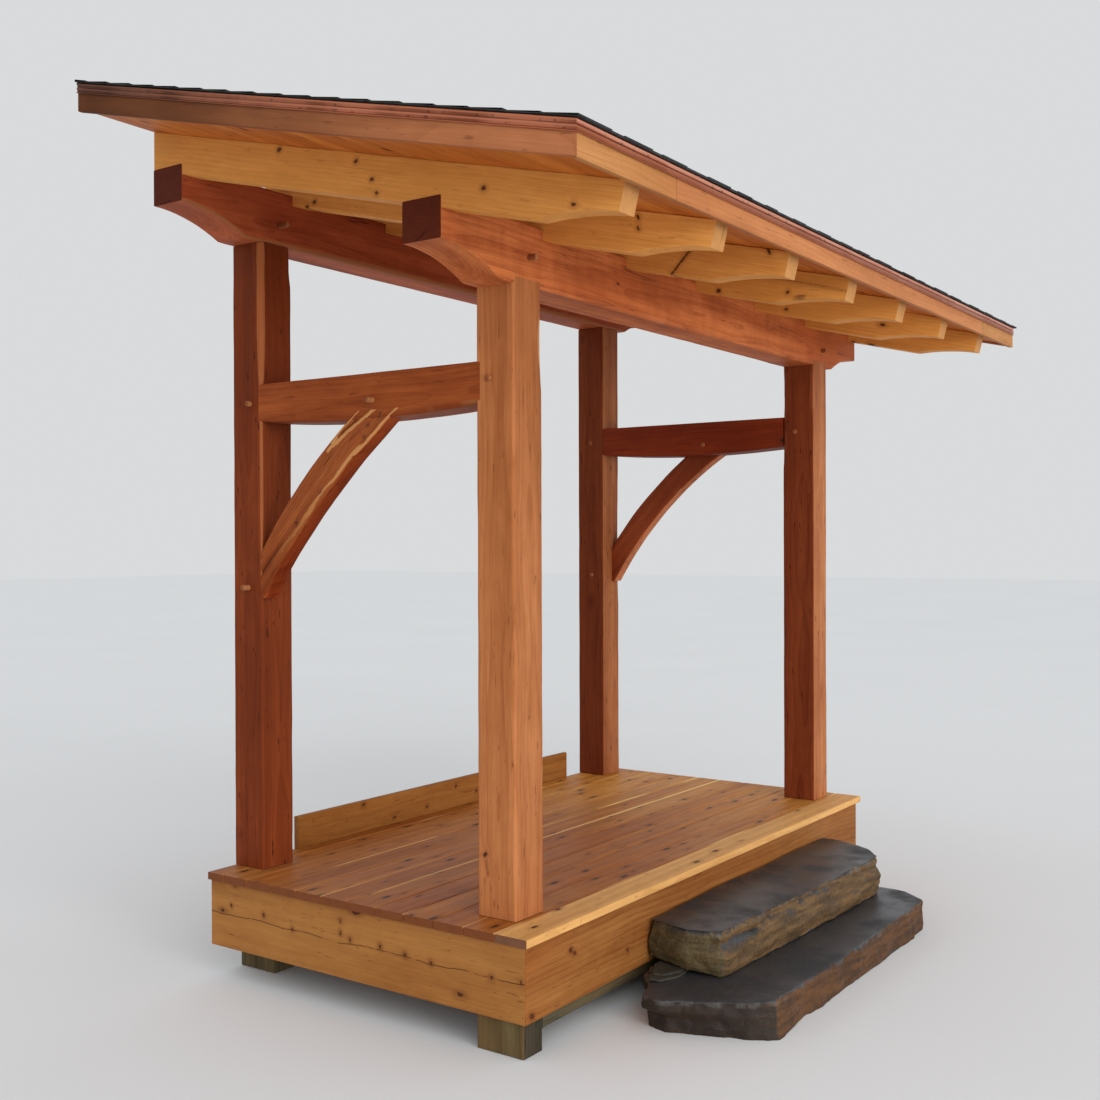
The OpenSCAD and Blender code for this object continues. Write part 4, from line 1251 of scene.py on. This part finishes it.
def copper(name, bright, dull, dark, worn, face, at_wall=(1.0, 1.0, 1.0)):
    """Rolled copper: its ridges keep a shine, and its grooves are browned, with a few dark specks. face
    darkens the flat part below the nose, and at_wall darkens the stretch towards the wall as painted shade."""
    material, tree, surface = start_material(name, metal=1.0)
    place = add(tree, "TexCoord").outputs["Object"]
    ridge = add(tree, "Attribute", attribute_name="ridge").outputs["Fac"]
    bloom = mottle(tree, place, 4.5, 3.0, rough=0.5)
    fine_bloom = mottle(tree, place, 55.0, 2.0, rough=0.4)
    browned = times(tree, grade(tree, bloom, 0.38, 0.64, 0.35, 1.0), grade(tree, ridge, 0.9, 0.1, 0.25, 1.0))
    colour = mix(tree, browned, bright, dull)
    drop = dot(tree, place, (0.0, -fall, 1.0))
    nose_foot = slope_z(wall, edge_top) - 0.012
    below = grade(tree, drop, nose_foot + 0.002, nose_foot - 0.002)
    colour = tinted(tree, below, colour, face)
    # Painted shade: darker towards the wall.
    near_wall = grade(tree, parts(tree, place)["Y"], -0.4, 1.1)
    colour = tinted(tree, near_wall, colour, at_wall)
    spots = times(tree, grade(tree, fine_bloom, 0.62, 0.70), grade(tree, ridge, 0.6, 0.2))
    colour = mix(tree, times(tree, spots, 0.75), colour, dark)
    dress(tree, surface, colour, grade(tree, bloom, 0.3, 0.7, worn - 0.05, worn + 0.08), bloom, 0.002, 0.12)
    return material


bright_copper = copper("bright copper", (1.00, 0.43, 0.27), (0.66, 0.225, 0.135), (0.24, 0.080, 0.050), 0.30,
                       (0.58, 0.43, 0.31))
# The left rake's copper is darker all over and darker still towards the wall: painted shade.
shaded_copper = copper("copper in painted shade", (0.66, 0.225, 0.120), (0.27, 0.080, 0.040), (0.11, 0.038, 0.024),
                      0.36,
                      (1.0, 1.0, 1.0), (0.32, 0.36, 0.38))
for name, node, stations, material in (
        ("copper_drip_left", "drip_edge_left", ((-1, True), (-1, False)), shaded_copper),
        ("copper_drip_eave", "drip_edge_eave", ((-1, False), (1, False)), bright_copper),
        ("copper_drip_right", "drip_edge_right", ((1, False), (1, True)), bright_copper)):
    fix(drip_run(name, stations), material, "copper", node)


# ---- Shingles ----
# Courses of laminated mineral-faced shingles, each butt lying over the course
# below it. Every course has thicker tabs of uneven width, and the courses'
# ends and curled butts give the roof its lumpy black edge.

shingle_past, shingle_top, exposure = 0.018, 0.0116, 0.140
random.seed(41)
set_back = (edge_top + shingle_top) * math.sin(slope_angle)
butt_line = (eave_out + shingle_past - set_back) / math.cos(slope_angle)
pick()
bpy.ops.mesh.primitive_cube_add(size=1)
blank = bpy.context.object
strips = []


def lay_shingle(x0, x1, butt, head, under, butt_top, head_top):
    """Lays a tapered strip between two places along the eave, in the roof's own plane."""
    strip = another(blank, "strip")
    for vertex in strip.data.vertices:
        at_butt = vertex.co.y < 0
        top = butt_top if at_butt else head_top
        vertex.co = (x1 if vertex.co.x > 0 else x0, -butt if at_butt else -head,
                     edge_top + (top if vertex.co.z > 0 else under))
    strips.append(strip)


side_end = roof_half + shingle_past
course = 0
while butt_line - course * exposure > 0.03:
    butt = butt_line - course * exposure
    head = butt - exposure - 0.035
    top_course = head < 0.0
    ends = (-side_end + random.random() * 0.005, side_end - random.random() * 0.005)
    cuts = [ends[0]]
    while cuts[-1] < ends[1]:
        cuts.append(cuts[-1] + random.uniform(0.5, 0.95))
    cuts[-1] = ends[1]
    for x0, x1 in zip(cuts, cuts[1:]):
        lift = random.random() * 0.0010
        lay_shingle(x0, x1 - 0.002, butt - random.random() * 0.003, head, 0.0024, 0.0082 + lift,
                    shingle_top if top_course else 0.0036)
    x = ends[0]
    while x < ends[1] - 0.05:
        x1 = min(x + random.uniform(0.07, 0.20), ends[1])
        lift = random.random() * 0.0010
        lay_shingle(x, x1, butt, head + 0.01, 0.0052, 0.0104 + lift, shingle_top if top_course else 0.0048)
        x = x1 + random.uniform(0.05, 0.16)
    course += 1
bpy.data.objects.remove(blank)
shingles = join(strips, "shingle_courses")
shingles.data.transform(roof_frame)
cut_off(shingles, wall_plane)
shingle, tree, surface = start_material("black mineral shingle", shine=0.3)
place = add(tree, "TexCoord").outputs["Object"]
flat = vector(tree, "MULTIPLY", place, (1.0, 1.0, 0.0))
tabs = add(tree, "TexVoronoi", {"Vector": vector(tree, "MULTIPLY", flat, (1.0, 1.35, 1.0)), "Scale": 7.0})
grit = mottle(tree, place, 420.0, 2.0, rough=0.8)
shade = add(tree, "SeparateColor", {"Color": tabs.outputs["Color"]}).outputs[0]
colour = mix(tree, shade, (0.010, 0.0105, 0.011), (0.030, 0.031, 0.032))
colour = mix(tree, grade(tree, grit, 0.52, 0.70, 0.0, 0.6), colour, (0.10, 0.10, 0.105))
dress(tree, surface, colour, grade(tree, grit, 0.3, 0.7, 0.75, 0.95), grit, 0.002, 0.6)
fix(shingles, shingle, "shingles", "roof_shingles")


# ---- Floor, light and camera ----
# A plain pale floor under soft light from a wide sky, with one large lamp in
# front and to the left, seen from the photograph's own viewpoint.

pick()
bpy.ops.mesh.primitive_plane_add(size=120, location=(0, 0, 0))
floor = bpy.context.object
floor.name = "floor"
floor_material, tree, surface = start_material("pale floor", shine=0.0)
cloud = mottle(tree, add(tree, "TexCoord").outputs["Object"], 0.4, 2.0)
colour = mix(tree, cloud, (0.78, 0.78, 0.77), (0.82, 0.82, 0.81))
tree.links.new(colour, surface.inputs["Base Color"])
surface.inputs["Roughness"].default_value = 0.9
floor.data.materials.append(floor_material)

world = bpy.data.worlds.new("pale sky")
bpy.context.scene.world = world
world.use_nodes = True
tree = world.node_tree
ray = add(tree, "LightPath").outputs["Is Camera Ray"]
background = tree.nodes["Background"]
sky = mix(tree, ray, (0.93, 0.96, 1.0), (0.93, 0.94, 0.95))
tree.links.new(sky, background.inputs["Color"])
background.inputs["Strength"].default_value = 0.75


def lamp(name, kind, energy, place, aim, size=1.0, colour=(1, 1, 1)):
    data = bpy.data.lights.new(name, kind)
    data.energy = energy
    data.color = colour
    if kind == "AREA":
        data.size = size
    else:
        data.angle = size
    light = bpy.data.objects.new(name, data)
    bpy.context.scene.collection.objects.link(light)
    light.location = place
    light.rotation_euler = (Vector(aim) - Vector(place)).to_track_quat("-Z", "Y").to_euler()


lamp("soft_day", "SUN", 1.5, (-5, -9, 2.6), (0, 0, 0), math.radians(60))
lamp("low_fill", "AREA", 330, (-4, -10, 1.7), (0, 0, 2.6), 4.0)

focal_pixels, photo_pixels, film_width = 1283.68, 1100, 36.0
eye = (-5.3158, wall - 4.4185, deck_top + 1.4230)
yaw, pitch, roll = (math.radians(a) for a in (-54.919, -0.316, -0.188))
forward = Vector((math.sin(-yaw) * math.cos(pitch), math.cos(yaw) * math.cos(pitch), math.sin(pitch)))
right = Vector((math.cos(yaw), math.sin(yaw), 0))
up = right.cross(forward)
turned_right = math.cos(roll) * right + math.sin(roll) * up
turned_up = -math.sin(roll) * right + math.cos(roll) * up
data = bpy.data.cameras.new("camera")
data.sensor_width = film_width
data.lens = focal_pixels / photo_pixels * film_width
data.clip_end = 300
camera = bpy.data.objects.new("camera", data)
bpy.context.scene.collection.objects.link(camera)
camera.matrix_world = Matrix((
    (turned_right.x, turned_up.x, -forward.x, eye[0]),
    (turned_right.y, turned_up.y, -forward.y, eye[1]),
    (turned_right.z, turned_up.z, -forward.z, eye[2]),
    (0, 0, 0, 1)))
bpy.context.scene.camera = camera
bpy.context.scene.view_settings.view_transform = "Standard"
